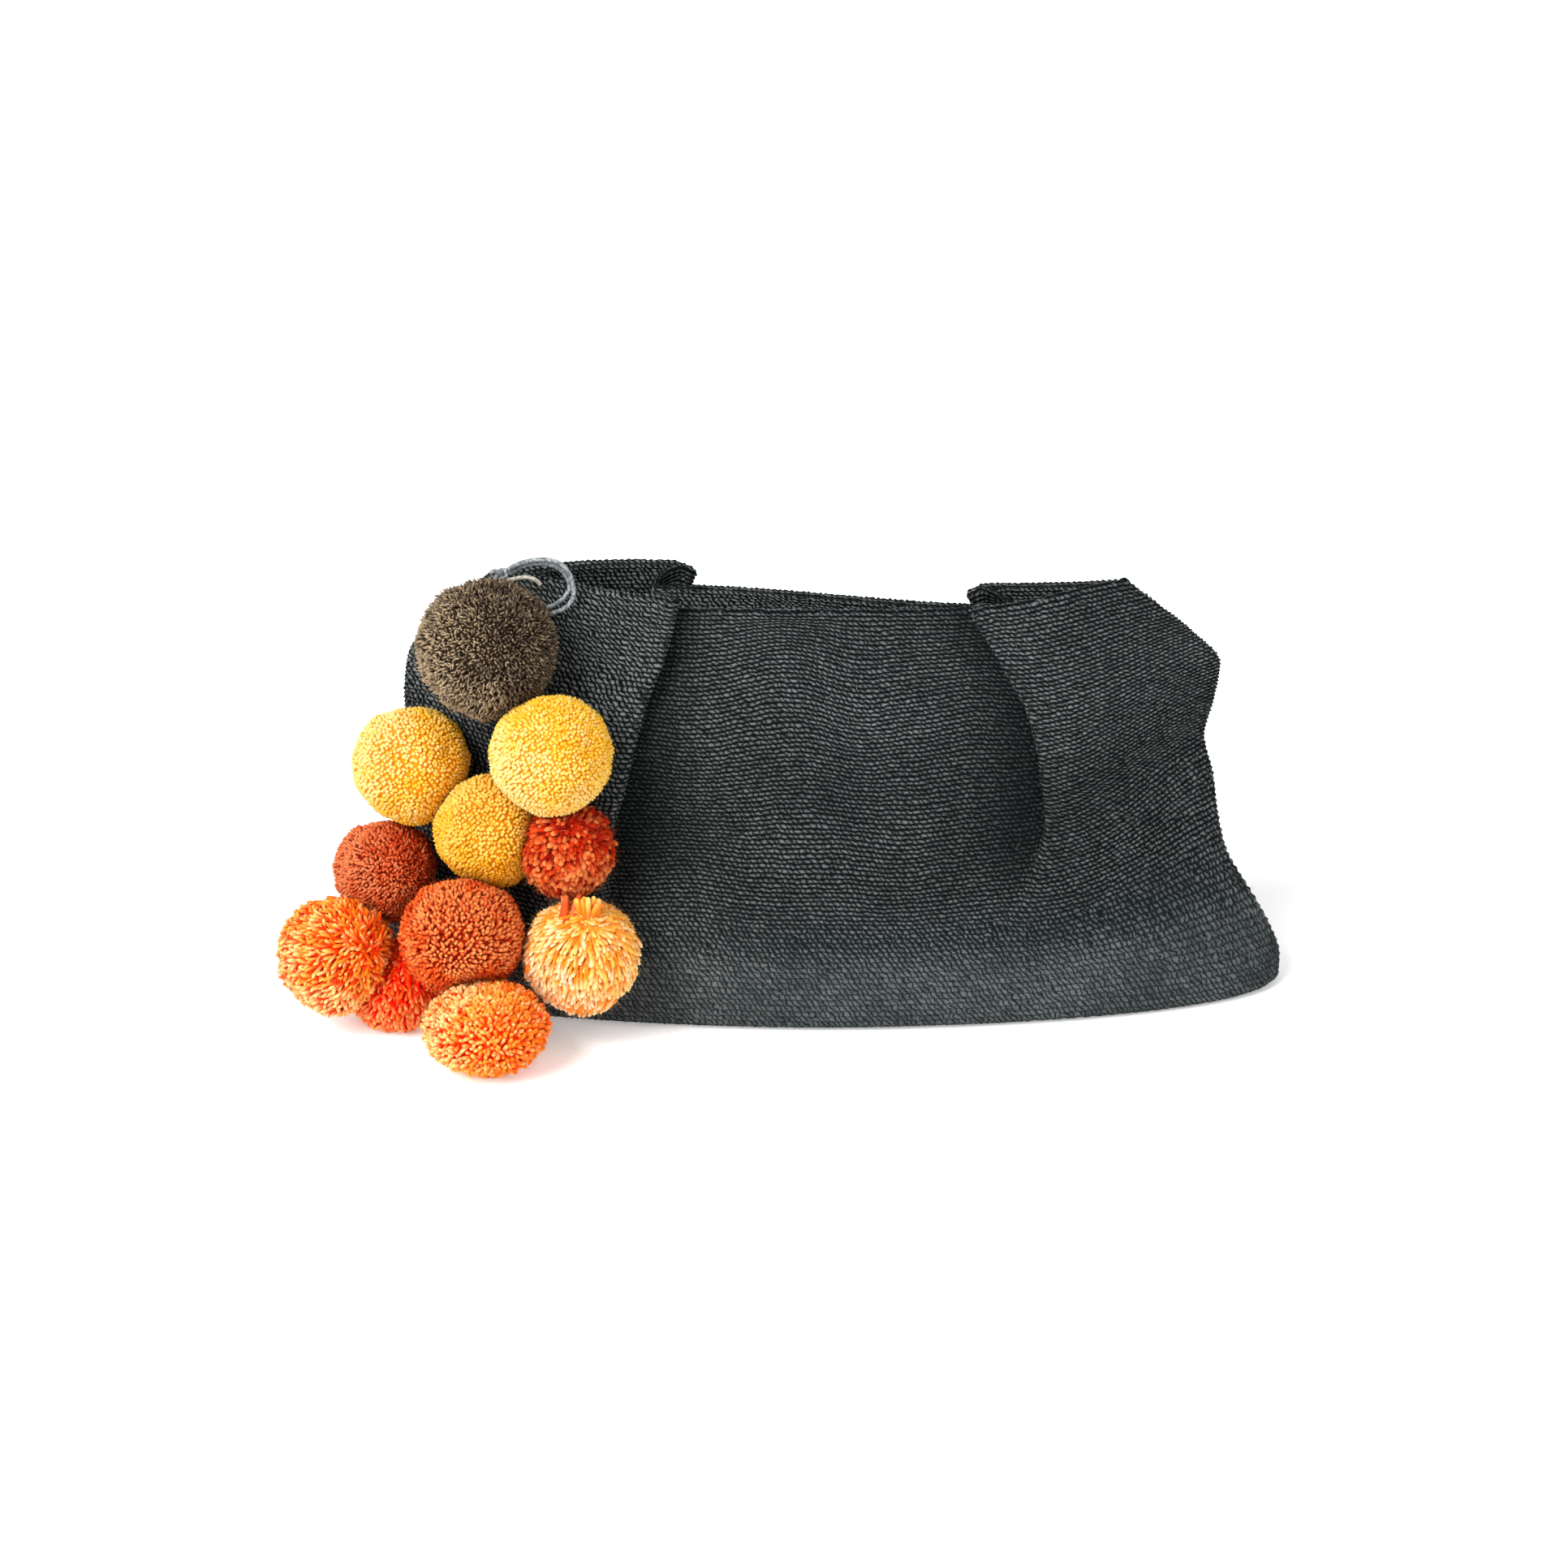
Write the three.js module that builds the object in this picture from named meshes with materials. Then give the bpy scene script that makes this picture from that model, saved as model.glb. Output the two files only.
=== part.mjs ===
// A soft crocheted clutch of charcoal sisal that stands open, with two box pleats in each
// wall that gather its sides into raised ears, and a bunch of wool pompoms on a lace.
// Millimetres, +Z up. The origin is on the floor, under the middle of the bag's flat base.
// The pleated front faces -Y, and the pompoms hang from the corner on -X.

import * as THREE from 'three';
import { mergeVertices } from 'three/addons/utils/BufferGeometryUtils.js';

// Driving dimensions.
const WIDTH = 340;            // across the base, from corner to corner
const HEIGHT = 148;           // from the floor to the rim between the pleats
const DEPTH = 104;            // front to back where the base is fullest
const EAR_RISE = 9;           // how far the ears' outer corners stand above that rim
const WALL = 2.4;             // thickness of the crochet
const PLEAT_LAP = 8;          // half the width of cloth that a pleat folds over
const PLEAT_STEP = 3.5;       // from the middle of one layer of a pleat to the next
const RIPPLE = 1.6;           // height of the soft waves in the middle of a wall
const POMPOM = 22;            // radius of the usual pompom
const LOCK = 1.3;             // how far the locks of wool stand out of a pompom
const KNOT = 4.0;             // radius of the lace's knot
const LACE = 1.6;             // diameter of the lace
const GAP = 0.3;              // left between pieces that touch

// How finely the shapes are divided.
const SIDE_COLUMNS = 7;
const MIDDLE_COLUMNS = 8;
const POMPOM_DETAIL = 4;
const LACE_SIDES = 8;
const LACE_STEPS = 18;

const HALF_WIDTH = WIDTH / 2;
const HALF_DEPTH = DEPTH / 2;

// Gives each row of a table's values the names of its columns.
const table = (names, rows) => rows.map(
  (row) => Object.fromEntries(names.map((name, i) => [name, row[i]])),
);

// The rows of the bag from the base up. rise is the height of the row in the middle of a
// wall, as a share of HEIGHT, and lift is how much higher it is at the side folds, as a
// share of EAR_RISE. left and right are half widths, and foldLeft and foldRight the places
// of the pleats, as shares of HALF_WIDTH. front and back are the walls' distances from the
// middle plane, as shares of HALF_DEPTH, and lean moves a row's left end back and its right
// end forward, also as a share of HALF_DEPTH. lap and step say how far the pleats are
// folded, as shares of PLEAT_LAP and PLEAT_STEP.
const ROWS = table(
  ['rise', 'lift', 'left', 'right', 'front', 'back', 'lean', 'foldLeft', 'foldRight', 'lap', 'step'],
  [
    [0.000, 0.00, 0.955, 0.985, 0.885, 0.84, 0.00, -0.500, 0.400, 0.00, 0.00],
    [0.018, 0.00, 0.985, 1.010, 0.975, 0.92, 0.00, -0.500, 0.400, 0.00, 0.00],
    [0.060, 0.00, 1.000, 1.010, 1.000, 0.94, 0.00, -0.500, 0.400, 0.00, 0.00],
    [0.135, 0.10, 0.980, 0.985, 0.970, 0.91, 0.00, -0.490, 0.400, 0.00, 0.08],
    [0.215, 0.45, 0.925, 0.935, 0.925, 0.86, 0.02, -0.480, 0.410, 0.05, 0.30],
    [0.295, 0.75, 0.895, 0.885, 0.875, 0.81, 0.04, -0.470, 0.430, 0.16, 0.55],
    [0.385, 1.00, 0.885, 0.862, 0.815, 0.75, 0.07, -0.460, 0.460, 0.24, 0.75],
    [0.480, 1.15, 0.888, 0.848, 0.740, 0.67, 0.11, -0.450, 0.485, 0.36, 0.90],
    [0.580, 1.20, 0.888, 0.826, 0.660, 0.57, 0.16, -0.440, 0.495, 0.68, 1.00],
    [0.680, 1.20, 0.890, 0.843, 0.560, 0.46, 0.22, -0.425, 0.490, 0.80, 1.00],
    [0.775, 1.15, 0.882, 0.854, 0.455, 0.35, 0.28, -0.405, 0.470, 0.90, 1.00],
    [0.865, 1.05, 0.836, 0.792, 0.350, 0.25, 0.32, -0.375, 0.430, 1.00, 1.00],
    [0.940, 1.00, 0.765, 0.715, 0.270, 0.17, 0.36, -0.355, 0.390, 1.00, 1.00],
    [1.000, 1.00, 0.695, 0.648, 0.235, 0.13, 0.38, -0.345, 0.360, 1.00, 1.00],
  ],
);

// How far each ear stands up, as shares of EAR_RISE: step at its pleat, corner at the
// side fold. shift moves its pleat along the wall, as a share of HALF_WIDTH.
const EARS = {
  frontLeft: { step: 0.72, corner: 1.25, shift: 0 },
  frontRight: { step: 0.30, corner: 0.85, shift: 0 },
  backLeft: { step: 0.80, corner: 1.15, shift: 0.030 },
  backRight: { step: 0.65, corner: 0.85, shift: 0 },
};

// The ears begin to part from the middle panels at this share of the height.
const EAR_START = 0.5;

// An ear's cloth stands out from its pleat outward, faster than the plain run by EAR_PUFF.
const EAR_PUFF = 1.15;

// The rim comes down from an ear to the middle panel inside the fold, ending at STEP_END of
// the fold's run and taking STEP_RUN of it.
const STEP_END = 0.9;
const STEP_RUN = 1.1;

// The back rim falls from left to right by this share of the distance along it.
const BACK_RIM_SLOPE = 0.035;

// Soft waves of the middle panel: place and breadth are shares of HALF_WIDTH, height and
// tall are shares of HEIGHT, and push is how far a wave goes outward, as a share of RIPPLE.
const RIPPLES = [
  { place: -0.04, height: 0.55, breadth: 0.09, tall: 0.40, push: 1.0 },
  { place: 0.12, height: 0.55, breadth: 0.09, tall: 0.40, push: -1.0 },
  { place: -0.26, height: 0.60, breadth: 0.09, tall: 0.40, push: -0.9 },
  { place: 0.30, height: 0.62, breadth: 0.08, tall: 0.35, push: -0.8 },
];

// The pompoms. across is a share of HALF_WIDTH and up a share of HEIGHT, or of the
// pompom's own radius where it lies on the floor. out is how far the middle stands in
// front of the bag's wall and size the radius, as shares of POMPOM, and squash is the
// height over the width.
const POMPOMS = table(
  ['name', 'across', 'up', 'out', 'size', 'squash', 'floor', 'color'],
  [
    ['pompom_brown', -0.698, 0.954, 1.37, 1.15, 1.00, false, 0x5f5141],
    ['pompom_yellow_left', -0.869, 0.642, 1.10, 0.98, 1.00, false, 0xf2b83e],
    ['pompom_yellow_right', -0.562, 0.720, 1.42, 1.01, 1.00, false, 0xf8cc5a],
    ['pompom_mustard', -0.694, 0.510, 1.06, 0.96, 1.00, false, 0xeeb63c],
    ['pompom_rust_left', -0.933, 0.367, 1.27, 0.86, 1.00, false, 0xba4724],
    ['pompom_rust_right', -0.536, 0.480, 1.00, 0.79, 1.00, false, 0xb2340f],
    ['pompom_rust_centre', -0.753, 0.282, 1.97, 1.03, 0.97, false, 0xcc5524],
    ['pompom_orange_left', -1.026, 0.202, 2.27, 0.98, 1.00, false, 0xf47a2c],
    ['pompom_red_orange', -0.908, 0.820, 1.19, 0.84, 0.97, true, 0xf05523],
    ['pompom_orange_bottom', -0.698, 0.670, 2.23, 1.05, 0.68, true, 0xf47b26],
    ['pompom_peach', -0.504, 0.234, 1.13, 0.95, 0.97, false, 0xf5a953],
  ],
);

// The lace's two turns and its cut end, as chosen points from the middle of the knot, in
// millimetres.
const LACE_OUTER = [
  [2.9, -2.3, 2.9], [6.2, -5.0, 5.6], [10.7, -6.6, 7.6], [16.0, -7.2, 8.4],
  [21.3, -7.6, 7.6], [25.0, -8.1, 4.6], [26.9, -8.6, 0.0], [26.9, -9.4, -5.0],
  [24.0, -10.1, -8.8], [18.8, -10.2, -11.0],
];
const LACE_INNER = [
  [4.1, -1.3, 1.5], [7.0, -3.4, 4.0], [10.8, -4.6, 5.6], [15.6, -5.1, 6.4],
  [20.5, -5.6, 5.4], [24.1, -6.1, 2.4], [25.6, -6.6, -2.0], [23.5, -7.6, -5.9],
  [19.9, -8.1, -8.3], [17.2, -8.1, -9.2],
];
const LACE_TAIL = [
  [3.4, -2.9, -0.6], [6.4, -6.2, 1.0], [10.2, -7.8, 2.0], [13.2, -8.0, 1.2],
  [15.4, -7.8, -0.8],
];

const mix = (a, b, share) => a + (b - a) * share;
const clamp01 = (value) => Math.min(1, Math.max(0, value));
const smooth = (value) => {
  const t = clamp01(value);
  return t * t * (3 - 2 * t);
};

// The outline of a row in plan: 1 in the middle, 0 at the side fold. It is full and square
// at the base, and a pointed lens from LENS_FROM of the height up.
const BASE_LENS = { power: 1.8, round: 0.48 };
const WALL_LENS = { power: 2.2, round: 0.8 };
const LENS_FROM = 0.3;
function lens(share, rise) {
  const turned = smooth(rise / LENS_FROM);
  const power = mix(BASE_LENS.power, WALL_LENS.power, turned);
  const round = mix(BASE_LENS.round, WALL_LENS.round, turned);
  return Math.max(0, 1 - Math.abs(share) ** power) ** round;
}

// How a fold runs back on itself: x = t - FOLD_BACK * lap * foldShape(t) for t from -1 to 1.
const FOLD_BACK = 3;
const FOLD_STOPS = [-1, -0.84, -0.73, -0.64, -0.54, -0.4, -0.15, 0.15, 0.4, 0.54, 0.64, 0.73, 0.84, 1];
const foldShape = (t) => t - (2 * t ** 3) / 3 + t ** 5 / 5;
const foldX = (t, lap) => PLEAT_LAP * (t - FOLD_BACK * lap * foldShape(t));

// The step outward over a fold: 1 on the side of the ear, 0 on the middle panel. A slack
// fold takes it in one slope. In a fold that laps over, from LAPPED on, half of it is taken
// at each turn, over TURN of t, so that the turns are round.
const TURN = 0.66;
const TURN_AT = 0.65;
const LAPPED = { start: 0.38, full: 0.66 };
function foldStep(t, lap) {
  const slack = 1 - smooth((t + 1) / 2);
  const turns = 1 - smooth((t + TURN_AT) / TURN + 0.5) / 2 - smooth((t - TURN_AT) / TURN + 0.5) / 2;
  return mix(slack, turns, smooth((lap - LAPPED.start) / (LAPPED.full - LAPPED.start)));
}

// One wall's columns, from the left side fold to the right one. Each says which zone it is
// in, and how far along that zone.
function columns() {
  const list = [];
  for (let i = 0; i < SIDE_COLUMNS; i += 1) {
    list.push({ zone: 'side', hand: -1, along: i / SIDE_COLUMNS });
  }
  for (const t of FOLD_STOPS) {
    list.push({ zone: 'fold', hand: -1, along: t });
  }
  for (let i = 1; i < MIDDLE_COLUMNS; i += 1) {
    list.push({ zone: 'middle', hand: 0, along: i / MIDDLE_COLUMNS });
  }
  for (const t of [...FOLD_STOPS].reverse()) {
    list.push({ zone: 'fold', hand: 1, along: t });
  }
  for (let i = SIDE_COLUMNS - 1; i >= 0; i -= 1) {
    list.push({ zone: 'side', hand: 1, along: i / SIDE_COLUMNS });
  }
  return list;
}

// The push outward of the soft waves in the middle of a wall.
function rippleAt(x, rise) {
  return RIPPLES.reduce((sum, wave) => {
    const away = (x / HALF_WIDTH - wave.place) / wave.breadth;
    const over = Math.abs(rise - wave.height) / wave.tall;
    return sum + RIPPLE * wave.push * Math.exp(-away * away) * smooth(1 - over);
  }, 0);
}

// A point of the cloth's middle surface. face is -1 on the front wall, 1 on the back wall.
function clothPoint(row, column, face) {
  const { zone, hand, along } = column;
  const earOf = (side) => EARS[(face < 0 ? 'front' : 'back') + (side < 0 ? 'Left' : 'Right')];
  const foldAt = (side, t) => {
    const place = (side < 0 ? row.foldLeft : row.foldRight) + earOf(side).shift;
    return place * HALF_WIDTH - side * foldX(t, row.lap);
  };
  const ear = earOf(hand);
  const earShare = smooth((row.rise - EAR_START) / (1 - EAR_START));
  let x = 0;
  let out = 0;
  let up = 0;
  if (zone === 'side') {
    const spread = 1 - Math.cos((along * Math.PI) / 2);
    const edge = hand < 0 ? -row.left * HALF_WIDTH : row.right * HALF_WIDTH;
    const corner = row.lift * mix(1, ear.corner, earShare);
    x = mix(edge, foldAt(hand, -1), spread);
    out = 2 * PLEAT_STEP * row.step * smooth(spread * EAR_PUFF);
    up = EAR_RISE * mix(corner, ear.step * earShare, smooth(spread));
  } else if (zone === 'fold') {
    x = foldAt(hand, along);
    out = 2 * PLEAT_STEP * row.step * foldStep(along, row.lap);
    up = EAR_RISE * ear.step * earShare * smooth((STEP_END - along) / STEP_RUN);
  } else {
    x = mix(foldAt(-1, 1), foldAt(1, 1), along);
    out = rippleAt(x, row.rise);
  }
  const share = x / ((x < 0 ? row.left : row.right) * HALF_WIDTH);
  const shape = lens(share, row.rise);
  const depth = (face < 0 ? row.front : row.back) * HALF_DEPTH;
  const lean = face > 0 ? -row.lean * HALF_DEPTH * share * shape * shape : 0;
  const slope = face > 0 ? -BACK_RIM_SLOPE * x * earShare * shape : 0;
  const y = face * (depth * shape + (Math.abs(share) < 1 ? out : 0)) + lean;
  const z = WALL / 2 + row.rise * (HEIGHT - WALL / 2) + up + slope;
  return new THREE.Vector3(x, y, z);
}

// The bag's closed rings of middle-surface points, or what else one wall's columns give:
// front wall left to right, then back wall right to left.
function ringsOf(each) {
  const across = columns();
  return ROWS.map((row, r) => {
    const front = across.map((column) => each(row, column, -1, r));
    const back = across.slice(1, -1).map((column) => each(row, column, 1, r));
    return [...front, ...back.reverse()];
  });
}

// The direction out of the bag at a column: square to the cloth's run along its row, which
// is taken a small step to each side, and to the line from the row below to the row above.
const SIDE_STEP = 0.02;
function clothNormal(row, column, face, r) {
  const { zone, along } = column;
  const least = zone === 'fold' ? -1 : 0;
  const before = { ...column, along: Math.max(least, along - SIDE_STEP) };
  const after = { ...column, along: Math.min(1, along + SIDE_STEP) };
  const run = clothPoint(row, after, face).sub(clothPoint(row, before, face));
  if (zone === 'side' && along === 0) {
    return new THREE.Vector3(column.hand, 0, 0);
  }
  const above = ROWS[Math.min(r + 1, ROWS.length - 1)];
  const below = ROWS[Math.max(r - 1, 0)];
  const rise = clothPoint(above, column, face).sub(clothPoint(below, column, face));
  const turn = column.hand > 0 ? -face : face;
  return rise.cross(run).multiplyScalar(turn).normalize();
}

const CLOTH = ringsOf(clothPoint);
const NORMALS = ringsOf(clothNormal);
const shifted = (distance) => CLOTH.map((ring, r) => ring.map(
  (point, c) => point.clone().addScaledVector(NORMALS[r][c], distance),
));
const OUTER = shifted(WALL / 2);
const INNER = shifted(-WALL / 2);

// Where the walls come together at the side folds, the inner faces stop short of each
// other: a ring's point c on the front wall lies across from its point -c on the back.
function keepApart(inner, cloth) {
  const wall = (inner.length + 2) / 2;
  for (let c = 1; c < wall - 1; c += 1) {
    const back = inner.length - c;
    const middle = (cloth[c].y + cloth[back].y) / 2;
    if (inner[back].y - inner[c].y < 2 * GAP) {
      const x = (inner[c].x + inner[back].x) / 2;
      inner[c].set(x, middle - GAP, inner[c].z);
      inner[back].set(x, middle + GAP, inner[back].z);
    }
  }
}
INNER.forEach((ring, r) => keepApart(ring, CLOTH[r]));
OUTER[0].forEach((point) => point.setZ(0));
INNER[0].forEach((point) => point.setZ(WALL));

function meshFrom(points, faces) {
  const geometry = new THREE.BufferGeometry();
  const numbers = points.flatMap((point) => [point.x, point.y, point.z]);
  geometry.setAttribute('position', new THREE.Float32BufferAttribute(numbers, 3));
  geometry.setIndex(faces.flat());
  return geometry;
}

// The bag: outer rings up, over the rim, inner rings down, with a floor across each base ring.
function bagGeometry() {
  const size = CLOTH[0].length;
  const levels = [...OUTER, ...[...INNER].reverse()];
  const points = levels.flat();
  const faces = [];
  for (let r = 0; r < levels.length - 1; r += 1) {
    for (let c = 0; c < size; c += 1) {
      const a = r * size + c;
      const b = r * size + ((c + 1) % size);
      faces.push([a, b, b + size], [a, b + size, a + size]);
    }
  }
  const half = size / 2;
  const closeBase = (start, flip) => {
    for (let c = 0; c < half; c += 1) {
      const front = start + c;
      const frontNext = start + c + 1;
      const back = start + ((size - c) % size);
      const backNext = start + (size - c - 1);
      for (const [p, q, s] of [[front, back, backNext], [front, backNext, frontNext]]) {
        if (p !== q && q !== s && p !== s) {
          faces.push(flip ? [p, s, q] : [p, q, s]);
        }
      }
    }
  };
  closeBase(0, false);
  closeBase((levels.length - 1) * size, true);
  return meshFrom(points, faces);
}

// The front wall's distance from the middle plane at a place and height, from the rows.
function frontAt(x, z) {
  const level = clamp01(z / HEIGHT);
  const above = ROWS.findIndex((row) => row.rise >= level);
  const high = ROWS[Math.max(1, above)];
  const low = ROWS[Math.max(1, above) - 1];
  const share = (level - low.rise) / (high.rise - low.rise);
  const half = mix(x < 0 ? low.left : low.right, x < 0 ? high.left : high.right, share) * HALF_WIDTH;
  return mix(low.front, high.front, share) * HALF_DEPTH * lens(Math.min(1, Math.abs(x) / half), level);
}

// The balls of wool, with their middles worked out from the bag's size.
const BALLS = POMPOMS.map((row) => {
  const radius = row.size * POMPOM;
  const x = row.across * HALF_WIDTH;
  const z = row.floor ? row.up * radius : row.up * HEIGHT;
  const y = -frontAt(x, z) - row.out * POMPOM;
  return { ...row, radius, centre: new THREE.Vector3(x, y, z) };
});

// How much further than its radius a ball looks for the wall and for its neighbours.
const WALL_REACH = 1.15;
const NEAR_REACH = 1.1;

// A plane in front of the bag's wall where a ball lies against it: the wall's points that
// are near the ball all lie behind it.
function wallPlane(centre, radius) {
  const reach = radius * WALL_REACH;
  const near = [];
  OUTER.forEach((ring, r) => ring.forEach((point, c) => {
    const flat = Math.hypot(point.x - centre.x, point.z - centre.z);
    if (flat < reach && NORMALS[r][c].y < 0) {
      near.push({ point, normal: NORMALS[r][c] });
    }
  }));
  if (near.length === 0) {
    return null;
  }
  const normal = new THREE.Vector3();
  near.forEach((sample) => normal.add(sample.normal));
  normal.normalize();
  const level = Math.max(...near.map((sample) => sample.point.dot(normal)));
  return { normal, level };
}

// Everything that flattens a ball: its neighbours, the bag's wall and the floor. Each is a
// direction out of the ball and the distance at which the wool stops.
function limitsOf(ball, balls) {
  const limits = [{ normal: new THREE.Vector3(0, 0, -1), distance: ball.centre.z }];
  for (const other of balls) {
    const between = other.centre.clone().sub(ball.centre);
    const length = between.length();
    if (other !== ball && length < (ball.radius + other.radius) * NEAR_REACH) {
      const share = ball.radius / (ball.radius + other.radius);
      limits.push({ normal: between.normalize(), distance: length * share - GAP / 2 });
    }
  }
  const wall = wallPlane(ball.centre, ball.radius);
  if (wall) {
    const distance = ball.centre.dot(wall.normal) - wall.level - GAP;
    limits.push({ normal: wall.normal.clone().negate(), distance });
  }
  return limits;
}

// Uneven lengths of the locks: a repeatable number from 0 to 1 for a direction.
const SCATTER = new THREE.Vector3(12.99, 78.23, 37.72);
const SCATTER_SCALE = 437.58;
function lockShare(direction) {
  const wave = Math.sin(direction.dot(SCATTER)) * SCATTER_SCALE;
  return wave - Math.floor(wave);
}

// A ball of wool locks, flattened where something stops it.
function ballGeometry(ball, balls, lock, detail) {
  const sphere = new THREE.IcosahedronGeometry(1, detail);
  sphere.deleteAttribute('normal');
  sphere.deleteAttribute('uv');
  const geometry = mergeVertices(sphere);
  const place = geometry.getAttribute('position');
  const limits = limitsOf(ball, balls);
  const direction = new THREE.Vector3();
  for (let i = 0; i < place.count; i += 1) {
    direction.fromBufferAttribute(place, i).normalize();
    const flat = Math.hypot(direction.x, direction.y);
    const round = 1 / Math.hypot(flat, direction.z / ball.squash);
    let length = (ball.radius + lock * (lockShare(direction) - 0.5)) * round;
    for (const limit of limits) {
      const facing = direction.dot(limit.normal);
      if (facing > 0) {
        length = Math.min(length, limit.distance / facing);
      }
    }
    place.setXYZ(
      i,
      ball.centre.x + direction.x * length,
      ball.centre.y + direction.y * length,
      ball.centre.z + direction.z * length,
    );
  }
  return geometry;
}

// A round lace through chosen points, which are measured from the knot.
function laceGeometry(points, knot) {
  const path = new THREE.CatmullRomCurve3(points.map((p) => new THREE.Vector3(...p).add(knot)));
  const section = new THREE.Shape();
  for (let i = 0; i < LACE_SIDES; i += 1) {
    const angle = (2 * Math.PI * i) / LACE_SIDES;
    const x = (LACE / 2) * Math.cos(angle);
    const y = (LACE / 2) * Math.sin(angle);
    if (i === 0) {
      section.moveTo(x, y);
    } else {
      section.lineTo(x, y);
    }
  }
  section.closePath();
  return new THREE.ExtrudeGeometry(section, { steps: LACE_STEPS, extrudePath: path, bevelEnabled: false });
}

const clutch = new THREE.Group();

function add(name, geometry, color, roughness) {
  const mesh = new THREE.Mesh(geometry, new THREE.MeshStandardMaterial({ color, roughness, metalness: 0 }));
  mesh.name = name;
  clutch.add(mesh);
}

// The lace's knot, on the front of the rim's corner above the brown pompom. inward, front
// and up place its middle from that corner, as shares of KNOT.
const KNOT_PLACE = { inward: 0.58, front: 1.85, up: 0.19 };
const KNOT_LOCK = 0.6;
const KNOT_SQUASH = 0.9;
const KNOT_DETAIL = 2;
const RIM_CORNER = CLOTH[ROWS.length - 1][0];
const KNOT_BALL = {
  radius: KNOT,
  squash: KNOT_SQUASH,
  centre: new THREE.Vector3(
    RIM_CORNER.x + KNOT_PLACE.inward * KNOT,
    RIM_CORNER.y - KNOT_PLACE.front * KNOT,
    RIM_CORNER.z + KNOT_PLACE.up * KNOT,
  ),
};
const BUNCH = [...BALLS, KNOT_BALL];

add('bag_body', bagGeometry(), 0x383c3c, 0.95);
for (const ball of BALLS) {
  add(ball.name, ballGeometry(ball, BUNCH, LOCK * 2, POMPOM_DETAIL), ball.color, 1);
}
add('lace_knot', ballGeometry(KNOT_BALL, BUNCH, KNOT_LOCK, KNOT_DETAIL), 0x34383a, 0.6);
add('lace_loop_outer', laceGeometry(LACE_OUTER, KNOT_BALL.centre), 0x4a5154, 0.5);
add('lace_loop_inner', laceGeometry(LACE_INNER, KNOT_BALL.centre), 0x4a5154, 0.5);
add('lace_tail', laceGeometry(LACE_TAIL, KNOT_BALL.centre), 0x9a9a90, 0.6);

export default clutch;
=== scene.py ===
"""A charcoal sisal clutch with a bunch of wool pompoms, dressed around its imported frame.

Metres, +Z up, with the origin on the floor under the middle of the bag's flat base. The
pleated front faces -Y. Shapes are worked out as whole numpy arrays: the crochet is a grid
of courses and stitches on the cloth's middle surface, and the pompoms are many yarn ends
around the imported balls.
"""

import math
from typing import NamedTuple

import bpy
import numpy as np
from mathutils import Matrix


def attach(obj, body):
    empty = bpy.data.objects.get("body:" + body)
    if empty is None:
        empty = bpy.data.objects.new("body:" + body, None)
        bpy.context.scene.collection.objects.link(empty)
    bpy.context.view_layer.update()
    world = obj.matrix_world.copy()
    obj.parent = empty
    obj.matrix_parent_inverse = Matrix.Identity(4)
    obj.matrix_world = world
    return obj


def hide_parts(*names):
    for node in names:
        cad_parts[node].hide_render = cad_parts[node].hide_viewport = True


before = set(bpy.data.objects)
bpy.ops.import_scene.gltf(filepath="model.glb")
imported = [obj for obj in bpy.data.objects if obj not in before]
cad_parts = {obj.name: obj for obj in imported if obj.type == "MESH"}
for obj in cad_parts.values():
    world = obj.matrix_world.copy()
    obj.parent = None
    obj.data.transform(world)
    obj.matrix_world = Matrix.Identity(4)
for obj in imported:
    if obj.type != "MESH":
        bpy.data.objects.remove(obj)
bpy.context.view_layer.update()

BODY = "root"
MM = 0.001

# The photograph's camera: how far it stands, how high, and what lies at the frame's middle.
CAMERA_LENS = 85.0
CAMERA_SENSOR = 36.0
CAMERA_DISTANCE = 1.370
CAMERA_ELEVATION = math.radians(20.0)
CAMERA_TARGET = (-0.0132, 0.0, 0.0776)

# The studio: the floor's half width, the even light round it, and each sun's name, the way
# to it, how wide it is in degrees and how strong.
FLOOR_REACH = 8.0
SURROUND = 0.6
SUNS = (
    ("key", (-0.8, -0.95, 0.95), 30, 3.3),
    ("fill", (0.9, -1.0, 0.9), 60, 0.6),
)

# The lace. The routes are chosen points in millimetres from the middle of the knot.
LACE = 1.6 * MM
KNOT_MIDDLE = (-115.8 * MM, -7.4 * MM, 160.0 * MM)
LOOP_OUTER = [
    (2.9, -2.3, 2.9), (6.2, -5.0, 5.6), (10.7, -6.6, 7.6), (16.0, -7.2, 8.4),
    (21.3, -7.6, 7.6), (25.0, -8.1, 4.6), (26.9, -8.6, 0.0), (26.9, -9.4, -5.0),
    (24.0, -10.1, -8.8), (18.8, -10.2, -11.0),
]
LOOP_INNER = [
    (4.1, -1.3, 1.5), (7.0, -3.4, 4.0), (10.8, -4.6, 5.6), (15.6, -5.1, 6.4),
    (20.5, -5.6, 5.4), (24.1, -6.1, 2.4), (25.6, -6.6, -2.0), (23.5, -7.6, -5.9),
    (19.9, -8.1, -8.3), (17.2, -8.1, -9.2),
]
TAIL = [
    (3.4, -2.9, -0.6), (6.4, -6.2, 1.0), (10.2, -7.8, 2.0), (13.2, -8.0, 1.2),
    (15.4, -7.8, -0.8),
]
LOOP_OUTER_LENGTH = 0.047
LOOP_INNER_LENGTH = 0.042
LACE_STEPS = 6                # points on each stretch of a route
KNOT_ARM = 1.0 * MM           # a third of the knot's reach from its middle
KNOT_THICK = 1.12             # how much thicker than the lace the knot is drawn
KNOT_POINTS = 72

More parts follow.
